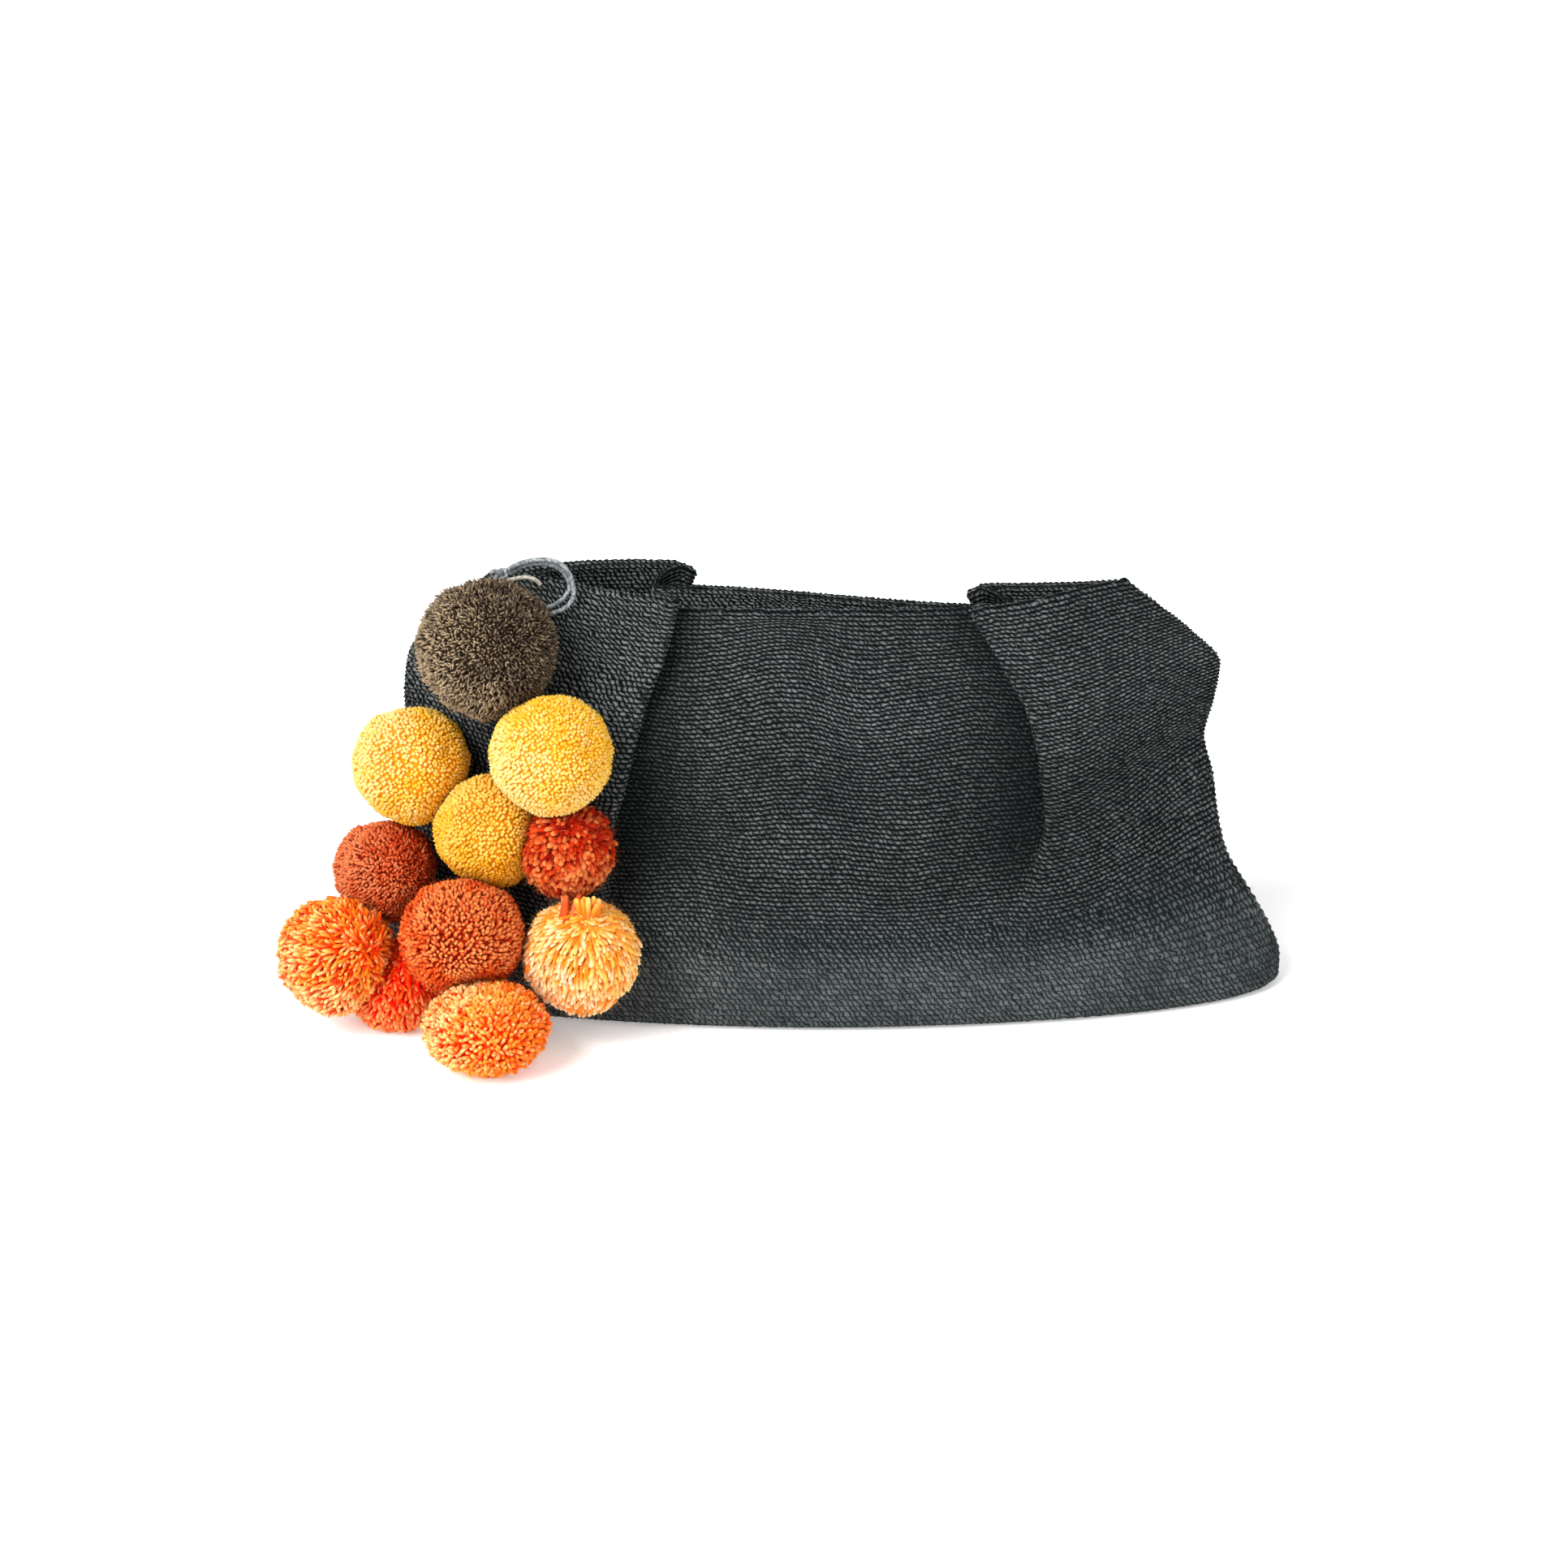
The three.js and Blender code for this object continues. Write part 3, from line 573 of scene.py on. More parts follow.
POMPOMS = (
    Ball("pompom_brown", "wool_brown", 4400, 0.42, 1.9, 0.55, 5.0, 0.90,
         (-0.8, -0.3, -0.3), (0.6, -0.6, 0.3), 0.2),
    Ball("pompom_yellow_left", "wool_yellow", 2600, 0.83, 0.30, 0.15, 4.0, 0.93,
         (-0.8, -0.2, 0.55)),
    Ball("pompom_yellow_right", "wool_pale_yellow", 2700, 0.84, 0.30, 0.15, 4.0, 0.93,
         (-0.7, -0.3, -0.65)),
    Ball("pompom_mustard", "wool_mustard", 2500, 0.83, 0.30, 0.15, 4.0, 0.93,
         (-0.3, -0.3, 0.9)),
    Ball("pompom_rust_left", "wool_rust", 2600, 0.66, 0.8, 0.60, 5.0, 0.90,
         (-0.9, -0.3, 0.2), (0.4, -0.9, 0.1), 0.5),
    Ball("pompom_rust_right", "wool_dark_rust", 950, 1.05, 2.2, 0.75, 7.0, 0.84,
         (-0.1, -0.3, -0.95), (0, -0.4, 0.9), 1.1),
    Ball("pompom_rust_centre", "wool_burnt_orange", 2300, 0.72, 1.1, 0.60, 5.1, 0.89,
         (0.3, -0.6, 0.7), (-0.2, -1, -0.2), 0.6),
    Ball("pompom_orange_left", "wool_orange", 1500, 0.74, 2.2, 0.90, 8.0, 0.85,
         (-0.7, -0.3, -0.65), (0.6, -0.7, 0.4), 1.6),
    Ball("pompom_red_orange", "wool_red_orange", 1200, 0.74, 1.5, 0.70, 7.0, 0.86,
         (-0.4, -0.3, -0.9), (0.1, -0.5, 0.8), 1.5),
    Ball("pompom_orange_bottom", "wool_orange", 1600, 0.80, 1.6, 0.70, 6.0, 0.87,
         (-1, 0.2, 0.2), (0.3, -0.95, -0.1), 0.7),
    Ball("pompom_peach", "wool_peach", 1600, 0.80, 1.9, 0.65, 9.0, 0.84,
         (-0.2, -0.3, -0.95), (0.1, -0.35, 0.9), 2.0),
)

# Bare yarns beside the pompoms, in millimetres: the piece, its finish, the ball that each
# yarn starts in and where from its middle, the ball that it ends by and where from there.
BARE_YARNS = (
    ("yarn_tie", "wool_rust", "pompom_peach", "pompom_rust_right", (
        ((-7.4, -7.5, 16), (-1.6, -9, -12)),
        ((-6.0, -8.6, 16), (-0.4, -10, -12)),
        ((-6.6, -6.2, 17), (-0.9, -8, -12)),
        ((-3.4, -8.0, 16), (2.2, -9, -12)),
        ((-2.3, -7.0, 17), (3.2, -8, -12)),
    )),
    ("yarn_tuft", "wool_orange", "pompom_peach", "pompom_peach", (
        ((0.5, -4, 15), (-2.0, -7, 24.5)),
        ((1.5, -5, 15), (0.4, -8, 25.8)),
        ((2.5, -5, 15), (2.6, -8, 26.4)),
        ((3.5, -5, 15), (4.6, -8, 25.6)),
        ((4.5, -4, 15), (6.9, -6, 24.4)),
        ((2.0, -3, 15), (1.6, -5, 26.4)),
        ((3.6, -3, 15), (5.4, -4, 25.0)),
    )),
)
BARE_RADIUS = 1.0 * MM
BARE_BEND = 0.8 * MM
BARE_SIDES = 8

# Wool colours as sRGB, from the root of the yarns to their ends: the painted shade in the gaps
# between the ends, the richer side, painted in shade, the body and the paler side, painted in
# light. The richer and paler colours also mark random clumps, ends and streaks.
WOOLS = {
    "wool_brown": ((48, 36, 26), (88, 74, 62), (138, 119, 96), (214, 188, 150)),
    "wool_yellow": ((238, 152, 14), (248, 184, 42), (255, 210, 90), (255, 234, 164)),
    "wool_pale_yellow": ((242, 162, 20), (250, 192, 54), (255, 213, 100), (255, 234, 166)),
    "wool_mustard": ((214, 132, 8), (230, 156, 26), (250, 194, 60), (255, 216, 110)),
    "wool_rust": ((134, 26, 4), (190, 60, 20), (228, 98, 46), (248, 150, 96)),
    "wool_dark_rust": ((142, 12, 0), (186, 34, 2), (232, 88, 30), (255, 166, 92)),
    "wool_burnt_orange": ((174, 32, 1), (216, 60, 10), (252, 112, 40), (255, 166, 92)),
    "wool_orange": ((255, 62, 4), (255, 128, 24), (255, 192, 80), (255, 234, 158)),
    "wool_red_orange": ((250, 20, 2), (255, 74, 14), (255, 134, 52), (255, 196, 120)),
    "wool_peach": ((255, 142, 36), (255, 188, 80), (255, 228, 150), (255, 246, 214)),
}

# Yarn ends and fine hairs. Rings hold the share of an end's length, and of its radius.
END_SIDES = 4
END_RINGS = ((0.0, 0.70), (0.80, 0.95))
LONG_END_RINGS = ((0.0, 0.70), (0.55, 0.95), (0.90, 0.88))
LONG_END = 5.2                # from this length on an end has the middle ring too
END_JITTER = 0.22             # how far an end strays, as a share of the ends' spacing
END_LEAN = 0.6                # how much of a ball's lean its ends take at the root
END_BEND = 0.8 * MM           # and how far it bends their tips
BARE_RINGS = ((0.0, 0.8), (0.3, 1.0), (0.6, 1.0), (0.93, 0.9))
FUZZ = 1800                   # fine hairs on a pompom
FUZZ_RADIUS = 0.05 * MM
FUZZ_LENGTH = 2.4 * MM
FUZZ_ROOT = 1.2 * MM          # how deep they start under the ball's surface
FUZZ_BEND = 0.4 * MM
FUZZ_JITTER = 0.8
FUZZ_RINGS = ((0.0, 1.0),)
FUZZ_SIDES = 3
REACH_BLUR = 0.015            # over how wide a cone a packed ball's reach is taken
CORE_LINES = 18
CORE_COLUMNS = 28
POMPOM_SEED = 100
BARE_SEED = 200


def golden_directions(count, chance, jitter):
    """Directions spread evenly over a sphere on a golden spiral, each moved by chance."""
    i = np.arange(count) + 0.5
    height = 1 - 2 * i / count
    turn = math.pi * (1 + math.sqrt(5)) * i
    flat = np.sqrt(1 - height * height)
    way = np.stack([flat * np.cos(turn), flat * np.sin(turn), height], axis=-1)
    spacing = math.sqrt(4 * math.pi / count)
    return unit(way + jitter * spacing * chance.standard_normal(way.shape))


def packed_points(node):
    """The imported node's vertices, as an array."""
    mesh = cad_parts[node].data
    points = np.empty(len(mesh.vertices) * 3, np.float32)
    mesh.vertices.foreach_get("co", points)
    return points.reshape(-1, 3).astype(float)


def packed_middle(points):
    """The middle of a packed ball's box."""
    return (points.min(axis=0) + points.max(axis=0)) / 2


def packed_reach(points, middle, ways):
    """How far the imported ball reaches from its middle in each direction: a mean of its
    vertices' distances, weighted by how nearly they lie that way."""
    arms = points - middle
    far = np.linalg.norm(arms, axis=1)
    near = np.exp((ways @ (arms / far[:, None]).T - 1) / REACH_BLUR)
    return near @ far / near.sum(axis=1)


def cross_frame(axis):
    """Two directions square to each axis and to each other."""
    helper = np.where(np.abs(axis[:, 2:]) < 0.9, (0.0, 0.0, 1.0), (1.0, 0.0, 0.0))
    first = unit(np.cross(axis, helper))
    return first, np.cross(axis, first)


def spikes(root, tip, radius, bend, rings, sides):
    """Many round yarn ends at once: rings of points along each line from root to tip, bent
    sideways by bend * t * t, with a point at the tip and a flat root. Returns the points,
    the faces, and for each point its t, its place across the yarn and which yarn it is on."""
    count = len(root)
    first, second = cross_frame(unit(tip - root))
    turn = 2 * math.pi * np.arange(sides) / sides
    circle = np.cos(turn)[:, None, None] * first + np.sin(turn)[:, None, None] * second
    layers = []
    shares = []
    for t, width in rings:
        middle = blend(root, tip, t) + bend * t * t
        layers.append(middle + circle * (radius * width)[:, None])
        shares.append(np.full((sides, count), t))
    layers.append((tip + bend)[None])
    shares.append(np.ones((1, count)))
    points = np.concatenate(layers).transpose(1, 0, 2)
    share = np.concatenate(shares).T
    per = points.shape[1]
    round_yarn = np.tile(np.stack([np.cos(turn), np.sin(turn)], -1), (len(rings), 1))
    across = np.concatenate([round_yarn, [[0, 0]]])

    side = np.arange(sides)
    quads = grid_faces(len(rings), sides, close_columns=True)
    last = (len(rings) - 1) * sides
    cap = np.stack([last + side, last + (side + 1) % sides, np.full(sides, per - 1)], -1)
    offsets = (np.arange(count) * per)[:, None, None]
    faces = (quads + offsets).reshape(-1, 4).tolist()
    faces += (cap + offsets).reshape(-1, 3).tolist()
    faces += (side[::-1] + offsets[:, 0]).tolist()
    which = np.repeat(np.arange(count), per)
    return points.reshape(-1, 3), faces, share.ravel(), np.tile(across, (count, 1)), which


def core_ball(middle, points, share):
    """The ball under the yarn ends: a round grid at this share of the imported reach."""
    down = np.linspace(0.03, math.pi - 0.03, CORE_LINES)[:, None]
    turn = -2 * math.pi * np.arange(CORE_COLUMNS)[None, :] / CORE_COLUMNS
    x, y = np.sin(down) * np.cos(turn), np.sin(down) * np.sin(turn)
    way = np.stack(np.broadcast_arrays(x, y, np.cos(down)), -1).reshape(-1, 3)
    faces = grid_faces(CORE_LINES, CORE_COLUMNS, close_columns=True).tolist()
    last = (CORE_LINES - 1) * CORE_COLUMNS
    faces += [list(range(CORE_COLUMNS))[::-1], list(range(last, last + CORE_COLUMNS))]
    return middle + way * (packed_reach(points, middle, way) * share)[:, None], faces


def combed_away(ways, crown, amount):
    """Sideways from the crown along the ball: each way less its part along the crown, less its
    own part along itself, at the amount's length a little away from the crown."""
    crown = unit(np.array(crown, float))
    along = crown - ways * (ways @ crown)[:, None]
    return -unit(along) * (amount * smooth(2.2 * np.linalg.norm(along, axis=1)))[:, None]


def varied(radius, count, chance):
    """Radii that differ by chance, each up to 15 % thinner or thicker."""
    return radius * (0.85 + 0.3 * chance.random(count))


def strand_starts(count, chance):
    """Where each yarn's streaks start in the noise, so that no two yarns look alike."""
    return chance.random((count, 3)) * 40


def yarn_ends(ball, packed, middle, chance):
    """A pompom's yarn ends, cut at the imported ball's surface, as spikes gives them."""
    ways = golden_directions(ball.ends, chance, END_JITTER)
    reach = packed_reach(packed, middle, ways)
    tip = middle + ways * (reach + ball.uneven * MM * (chance.random(ball.ends) - 0.6))[:, None]
    sideways = chance.standard_normal(ways.shape)
    sideways -= ways * (sideways * ways).sum(axis=1, keepdims=True)
    combed = combed_away(ways, ball.crown, ball.comb)
    root = tip - unit(ways + ball.lean * END_LEAN * sideways + combed) * ball.long * MM
    radius = varied(ball.thick * MM, ball.ends, chance)
    rings = LONG_END_RINGS if ball.long > LONG_END else END_RINGS
    return spikes(root, tip, radius, sideways * ball.lean * END_BEND, rings, END_SIDES)


def ball_hairs(ball, packed, middle, chance):
    """The fine hairs round a pompom, longer where its ends are uneven, as spikes gives them."""
    ways = golden_directions(FUZZ, chance, FUZZ_JITTER)
    root = middle + ways * (packed_reach(packed, middle, ways) - FUZZ_ROOT)[:, None]
    drift = chance.standard_normal(ways.shape)
    length = FUZZ_LENGTH * (0.5 + chance.random(FUZZ)) * (0.5 + ball.uneven * 0.5)
    tip = root + unit(ways + 0.7 * drift) * length[:, None]
    radius = np.full(FUZZ, FUZZ_RADIUS)
    return spikes(root, tip, radius, drift * FUZZ_BEND, FUZZ_RINGS, FUZZ_SIDES)


def build_pompom(number, ball, material):
    """One pompom over its packed ball: a core, yarn ends cut at the ball's surface, and fine
    hairs. The yarn attribute holds the share from root to end, along which shade is painted
    toward the root, the yarn's own chance shade and how far it lies on the side where light is
    painted. The strand attribute runs along the yarn."""
    chance = np.random.default_rng(POMPOM_SEED + number)
    packed = packed_points(ball.node)
    middle = packed_middle(packed)
    points, faces, depth, across, which = yarn_ends(ball, packed, middle, chance)
    shade = chance.random(ball.ends)
    hairs, hair_faces, _, _, hair_of = ball_hairs(ball, packed, middle, chance)
    core, core_faces = core_ball(middle, packed, ball.core)
    for more, start in ((hair_faces, len(points)), (core_faces, len(points) + len(hairs))):
        faces += [[corner + start for corner in face] for face in more]
    every = np.concatenate([points, hairs, core])
    every[:, 2] = np.maximum(every[:, 2], 0.0)

    # Painted light: how far each point lies toward the side where the wool is painted paler.
    side = unit(every - middle) @ unit(np.array(ball.painted_light_way))
    shares = np.concatenate([depth, np.full(len(hairs), 0.95), np.zeros(len(core))])
    shades = np.concatenate([shade[which], chance.random(FUZZ)[hair_of], np.full(len(core), 0.5)])
    strand = np.zeros((len(every), 3))
    strand[: len(points)] = np.column_stack([across, depth * 2]) + strand_starts(ball.ends, chance)[which]
    yarn = np.stack([shares, shades, side], axis=-1)
    piece = add_mesh(ball.node + "_wool", every, faces, material, {"yarn": yarn, "strand": strand})
    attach(piece, BODY)
    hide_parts(ball.node)


def build_bare_yarns(number, name, slot, start, end, places, material):
    """Short bare yarns from one ball to another, with the pompoms' attributes."""
    chance = np.random.default_rng(BARE_SEED + number)
    ends = np.array(places) * MM + [packed_middle(packed_points(node)) for node in (start, end)]
    root, tip = ends[:, 0], ends[:, 1]
    count = len(root)
    radius = varied(BARE_RADIUS, count, chance)
    bend = BARE_BEND * chance.standard_normal(root.shape)
    points, faces, depth, across, which = spikes(root, tip, radius, bend, BARE_RINGS, BARE_SIDES)
    yarn = np.stack([0.8 + 0.2 * depth, chance.random(count)[which], np.zeros(len(points))], axis=-1)
    strand = np.column_stack([across, depth * 4]) + strand_starts(count, chance)[which]
    piece = add_mesh(name, points, faces, material, {"yarn": yarn, "strand": strand})
    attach(piece, BODY)


# The look of the crochet: how the noise shifts its stitches and rows, at two scales, the
# courses over which each part's look sets in, what it adds to the shine of the grains, and
# the colours of the gaps and the grains as sRGB.
STRAY_SCALES = (110.0, 430.0)
STRAY = (1.2, 0.72, 0.0)
BASE_COURSES = (28.0, 8.0)
GAP_COURSES = (30.0, 6.0)
EAR_COURSES = (14.0, 36.0)
UPPER_COURSES = (48.0, 72.0)
UPPER_SHINE = (0.90, 1.12)
BASE_GLOOM = -0.22
# Painted light: what the left ear adds to the shine of its grains, as the light from the left falls on
# it.
LEFT_EAR_SHINE = 0.7
# Painted light: what the inside adds to the shine of its grains, against the shade in the mouth.
INSIDE_SHINE = 1.0
# Painted shade: the near-black of the gaps between and under the stitches, and the paler gaps of the
# base.
PAINTED_GAP_SHADE = (7, 12, 12)
PAINTED_BASE_GAP_SHADE = (27, 33, 34)
GRAIN_COLOR = (112, 117, 117)


def linear(color):
    """An sRGB colour from 0 to 255 as Blender's linear colour."""
    share = np.array(color) / 255
    value = np.where(share <= 0.04045, share / 12.92, ((share + 0.055) / 1.055) ** 2.4)
    return (*value.tolist(), 1.0)


class Wiring:
    """Adds nodes to one node tree and joins them."""

    def __init__(self, tree):
        self.tree = tree

    def node(self, kind, values=None, **settings):
        """A node with its settings, and each input named in values joined or set."""
        made = self.tree.nodes.new("ShaderNode" + kind)
        for name, value in settings.items():
            setattr(made, name, value)
        for key, value in (values or {}).items():
            self.feed(made.inputs[key], value)
        return made

    def feed(self, socket, value):
        """Joins a socket to another's output, or sets its value."""
        if isinstance(value, bpy.types.NodeSocket):
            self.tree.links.new(value, socket)
        else:
            socket.default_value = value

    def math(self, operation, *values):
        """The result of a Math node."""
        return self.node("Math", dict(enumerate(values)), operation=operation).outputs[0]

    def range(self, value, low, high, to_low=0.0, to_high=1.0):
        """The value moved from one range to another and held inside it."""
        values = {"Value": value, "From Min": low, "From Max": high, "To Min": to_low, "To Max": to_high}
        return self.node("MapRange", values, interpolation_type="SMOOTHSTEP").outputs[0]

    def mix(self, share, a, b):
        """Colour a at share 0 and colour b at share 1."""
        return self.node("Mix", {0: share, 6: a, 7: b}, data_type="RGBA").outputs[2]

    def attribute(self, name):
        """A point attribute, as a vector."""
        return self.node("Attribute", attribute_name=name).outputs["Vector"]

    def parts(self, vector):
        """The three numbers of a vector."""
        return self.node("SeparateXYZ", {0: vector}).outputs

    def noise(self, vector, scale, detail=3.0, roughness=0.5):
        """Noise from 0 to 1."""
        values = {"Vector": vector, "Scale": scale, "Detail": detail, "Roughness": roughness}
        return self.node("TexNoise", values).outputs["Fac"]

    def vector(self, operation, a, b):
        """The result of a Vector Math node."""
        return self.node("VectorMath", {0: a, 1: b}, operation=operation).outputs[0]

    def group(self, tree, values):
        """A node group with its inputs joined or set."""
        made = self.tree.nodes.new("ShaderNodeGroup")
        made.node_tree = tree
        for key, value in values.items():
            self.feed(made.inputs[key], value)
        return made.outputs


def new_group(name, inputs, outputs):
    """An empty shader node group with these sockets: its wiring, its inputs, its output node."""
    tree = bpy.data.node_groups.new(name, "ShaderNodeTree")
    for label, kind in inputs:
        tree.interface.new_socket(label, in_out="INPUT", socket_type="NodeSocket" + kind)
    for label, kind in outputs:
        tree.interface.new_socket(label, in_out="OUTPUT", socket_type="NodeSocket" + kind)
    wiring = Wiring(tree)
    entry = tree.nodes.new("NodeGroupInput")
    leave = tree.nodes.new("NodeGroupOutput")
    return tree, wiring, entry.outputs, leave.inputs


def crochet_group():
    """The look of single crochet: each stitch a slanted oval grain on its row, with a gap under
    the row and along its slant, where the material paints shade. Low is 1 where the slants
    show more than the rows, and 2 at the base, where the grains are also thicker and the gaps
    thin. Grain runs from 0 in the gaps to 1 on the grains, Chance is the stitch's own number,
    and Fibre is the fine streaks of the yarn."""
    tree, w, given, out = new_group(
        "Crochet stitches",
        [("Weave", "Vector"), ("Place", "Vector"), ("Low", "Float")],
        [("Grain", "Float"), ("Chance", "Float"), ("Fibre", "Float")],
    )
    place = given["Weave"]
    for scale in STRAY_SCALES:
        stray = w.node("TexNoise", {"Vector": given["Place"], "Scale": scale, "Detail": 1.0})
        stray = w.vector("SUBTRACT", stray.outputs["Color"], (0.5, 0.5, 0.5))
        place = w.vector("ADD", w.vector("MULTIPLY", stray, STRAY), place)
    along, up, _ = w.parts(place)
    along = w.math("MULTIPLY_ADD", up, LEANING, along)
    number, row = w.math("FLOOR", along), w.math("FLOOR", up)
    cell = w.node("CombineXYZ", {0: number, 1: row, 2: 0.0}).outputs[0]
    chance = w.node("TexWhiteNoise", {"Vector": cell}, noise_dimensions="3D").outputs["Value"]
    slant, thick = w.range(given["Low"], 0.0, 1.0), w.range(given["Low"], 1.0, 2.0)

    def edge(plain, more_slant, more_thick):
        return w.math("MULTIPLY_ADD", thick, more_thick, w.math("MULTIPLY_ADD", slant, more_slant, plain))

    in_stitch, in_row = w.math("PINGPONG", along, 0.5), w.math("PINGPONG", up, 0.5)
    across = w.range(in_stitch, edge(-0.09, 0.15, -0.06), edge(0.40, 0.0, -0.14))
    upright = w.range(in_row, edge(0.04, -0.14, -0.08), edge(0.42, 0.0, -0.14))
    long, wide = w.math("MULTIPLY", along, 2.2), w.math("MULTIPLY", up, 2.6)
    streaks = w.node("CombineXYZ", {0: long, 1: wide, 2: chance}).outputs[0]
    w.feed(out["Grain"], w.math("MULTIPLY", across, upright))
    w.feed(out["Chance"], chance)
    w.feed(out["Fibre"], w.noise(streaks, 1.6, 4.0, 0.7))
    return tree


def wool_group():
    """The fine streaks along a yarn end, and the specks of its cut fibres."""
    tree, w, given, out = new_group(
        "Wool fibres",
        [("Strand", "Vector"), ("Place", "Vector")],
        [("Streak", "Float")],
    )
    streak = w.noise(w.vector("MULTIPLY", given["Strand"], (1.6, 1.6, 0.9)), 1.5, 3.0, 0.6)
    speck = w.noise(given["Place"], 2600.0, 2.0, 0.6)
    w.feed(out["Streak"], w.math("ADD", w.math("MULTIPLY", streak, 0.6), w.math("MULTIPLY", speck, 0.4)))
    return tree


def new_material(name):
    """An empty material with a Principled shader: its wiring and the shader."""
    material = bpy.data.materials.new(name)
    material.use_nodes = True
    tree = material.node_tree
    shader = tree.nodes["Principled BSDF"]
    return material, Wiring(tree), shader


def place_vector(w):
    """Where a point lies on the piece."""
    return w.node("TexCoord").outputs["Object"]


def sisal_material(crochet):
    """Charcoal sisal: painted near-black shade in the gaps, mid-grey grains with paler fibres,
    some stitches paler than others, and broad cloudy differences. The base has its own
    brightness and slant, the left ear and the inside their own slant and painted light, and
    the pleats painted shade."""
    material, w, shader = new_material("Charcoal sisal crochet")
    place = place_vector(w)
    weave = w.attribute("weave")
    _, courses, mark = w.parts(weave)
    on_left = w.math("MULTIPLY", w.range(mark, 0.3, 1.0), w.range(w.parts(place)[0], 0.02, -0.02))
    left_ear = w.math("MULTIPLY", on_left, w.range(courses, *EAR_COURSES))
    inside = w.range(mark, 1.0, INSIDE_MARK)
    base = w.range(courses, *BASE_COURSES)
    low = w.math("MAXIMUM", base, w.math("MAXIMUM", left_ear, w.math("MULTIPLY", inside, 0.4)))
    stitch = w.group(crochet, {"Weave": weave, "Place": place, "Low": w.math("ADD", low, base)})

    bright = w.math("MULTIPLY_ADD", base, BASE_GLOOM, w.range(courses, *UPPER_COURSES, *UPPER_SHINE))
    # Painted light: the inside is brighter.
    bright = w.math("MULTIPLY_ADD", inside, INSIDE_SHINE, bright)
    # Painted light: the left ear is brighter.
    bright = w.math("MULTIPLY_ADD", left_ear, LEFT_EAR_SHINE, bright)
    clouds = w.range(w.noise(place, 30.0, 3.0), 0.3, 0.7, 0.72, 1.1)
    own = w.math("MULTIPLY_ADD", stitch["Chance"], 0.36, w.math("MULTIPLY", stitch["Fibre"], 1.5))
    shine = w.math("MULTIPLY", w.math("POWER", stitch["Grain"], 1.4), w.range(own, 0.42, 1.22, 0.14, 1.0))
    # Random clouds, and painted shade: the grains darken where the weave's third number falls below 0, at
    # the pleats.
    shine = w.math("MULTIPLY", shine, w.math("MULTIPLY", clouds, w.range(mark, 0.0, -0.9, 1.0, 0.32)))
    shine = w.math("MULTIPLY", shine, bright)
    # Painted shade: the gaps between the grains take the near-black shade colour, paler at the base.
    gap = w.mix(w.range(courses, *GAP_COURSES), linear(PAINTED_GAP_SHADE), linear(PAINTED_BASE_GAP_SHADE))
    w.feed(shader.inputs["Base Color"], w.mix(shine, gap, linear(GRAIN_COLOR)))
    shader.inputs["Roughness"].default_value = 0.9
    shader.inputs["Specular IOR Level"].default_value = 0.05
    height = w.math("MULTIPLY_ADD", stitch["Fibre"], 0.35, stitch["Grain"])
    bump = w.node("Bump", {"Height": height, "Distance": 0.5 * MM, "Strength": 0.8})
    w.feed(shader.inputs["Normal"], bump.outputs[0])
    return material


def hair_material():
    """Stray sisal hairs, from charcoal to pale."""
    material, w, shader = new_material("Sisal hairs")
    tone = w.noise(place_vector(w), 140.0, 1.0)
    color = w.mix(w.range(tone, 0.45, 0.75), linear((84, 88, 88)), linear((190, 190, 184)))
    w.feed(shader.inputs["Base Color"], color)
    shader.inputs["Roughness"].default_value = 0.7
    return material


def wool_material(slot, fibres):
    """Wool yarn: painted shade in the gaps toward the roots, painted light on the paler side and painted
    shade on the richer side, among random paler and richer clumps, and streaked, specked ends.
    """
    gap, rich, body, pale = (linear(color) for color in WOOLS[slot])
    material, w, shader = new_material(slot.replace("_", " ").capitalize())
    depth, shade, side = w.parts(w.attribute("yarn"))
    wool = w.group(fibres, {"Strand": w.attribute("strand"), "Place": place_vector(w)})
    # Painted light: paler toward the ball's lit side and richer away from it, broken up by random paler
    # and richer clumps.
    side = w.math("MULTIPLY_ADD", side, 1.2, -2.0)
    side = w.math("MULTIPLY_ADD", w.noise(place_vector(w), 90.0, 2.0), 4.0, side)
    color = w.mix(w.range(side, -0.9, 0.1), rich, body)
    color = w.mix(w.range(side, 0.0, 1.0), color, pale)
    color = w.mix(w.range(shade, 0.45, 1.0, 0.0, 0.6), color, pale)
    color = w.mix(w.range(shade, 0.55, 0.0, 0.0, 0.6), color, rich)
    color = w.mix(w.range(wool["Streak"], 0.60, 0.38, 0.0, 0.5), color, rich)
    # Painted shade: toward the root, and on the core, the colour turns to the gaps' darker, saturated
    # colour.
    color = w.mix(w.range(depth, 0.45, 0.95), gap, color)
    w.feed(shader.inputs["Base Color"], color)
    shader.inputs["Roughness"].default_value = 0.9
    shader.inputs["Specular IOR Level"].default_value = 0.1
    bump = w.node("Bump", {"Height": wool["Streak"], "Distance": 0.4 * MM, "Strength": 0.8})
    w.feed(shader.inputs["Normal"], bump.outputs[0])
    return material


def lace_material(name, color, pale):
    """Waxed lace: a twisted grey cord with paler rubbed strands and a low gloss."""
    material, w, shader = new_material(name)
    rub = w.noise(place_vector(w), 900.0, 4.0, 0.6)
    w.feed(shader.inputs["Base Color"], w.mix(w.range(rub, 0.35, 0.7), linear(color), linear(pale)))
    w.feed(shader.inputs["Roughness"], w.range(rub, 0.2, 0.8, 0.62, 0.42))
    bump = w.node("Bump", {"Height": rub, "Distance": 0.15 * MM, "Strength": 0.6})
    w.feed(shader.inputs["Normal"], bump.outputs[0])
    return material


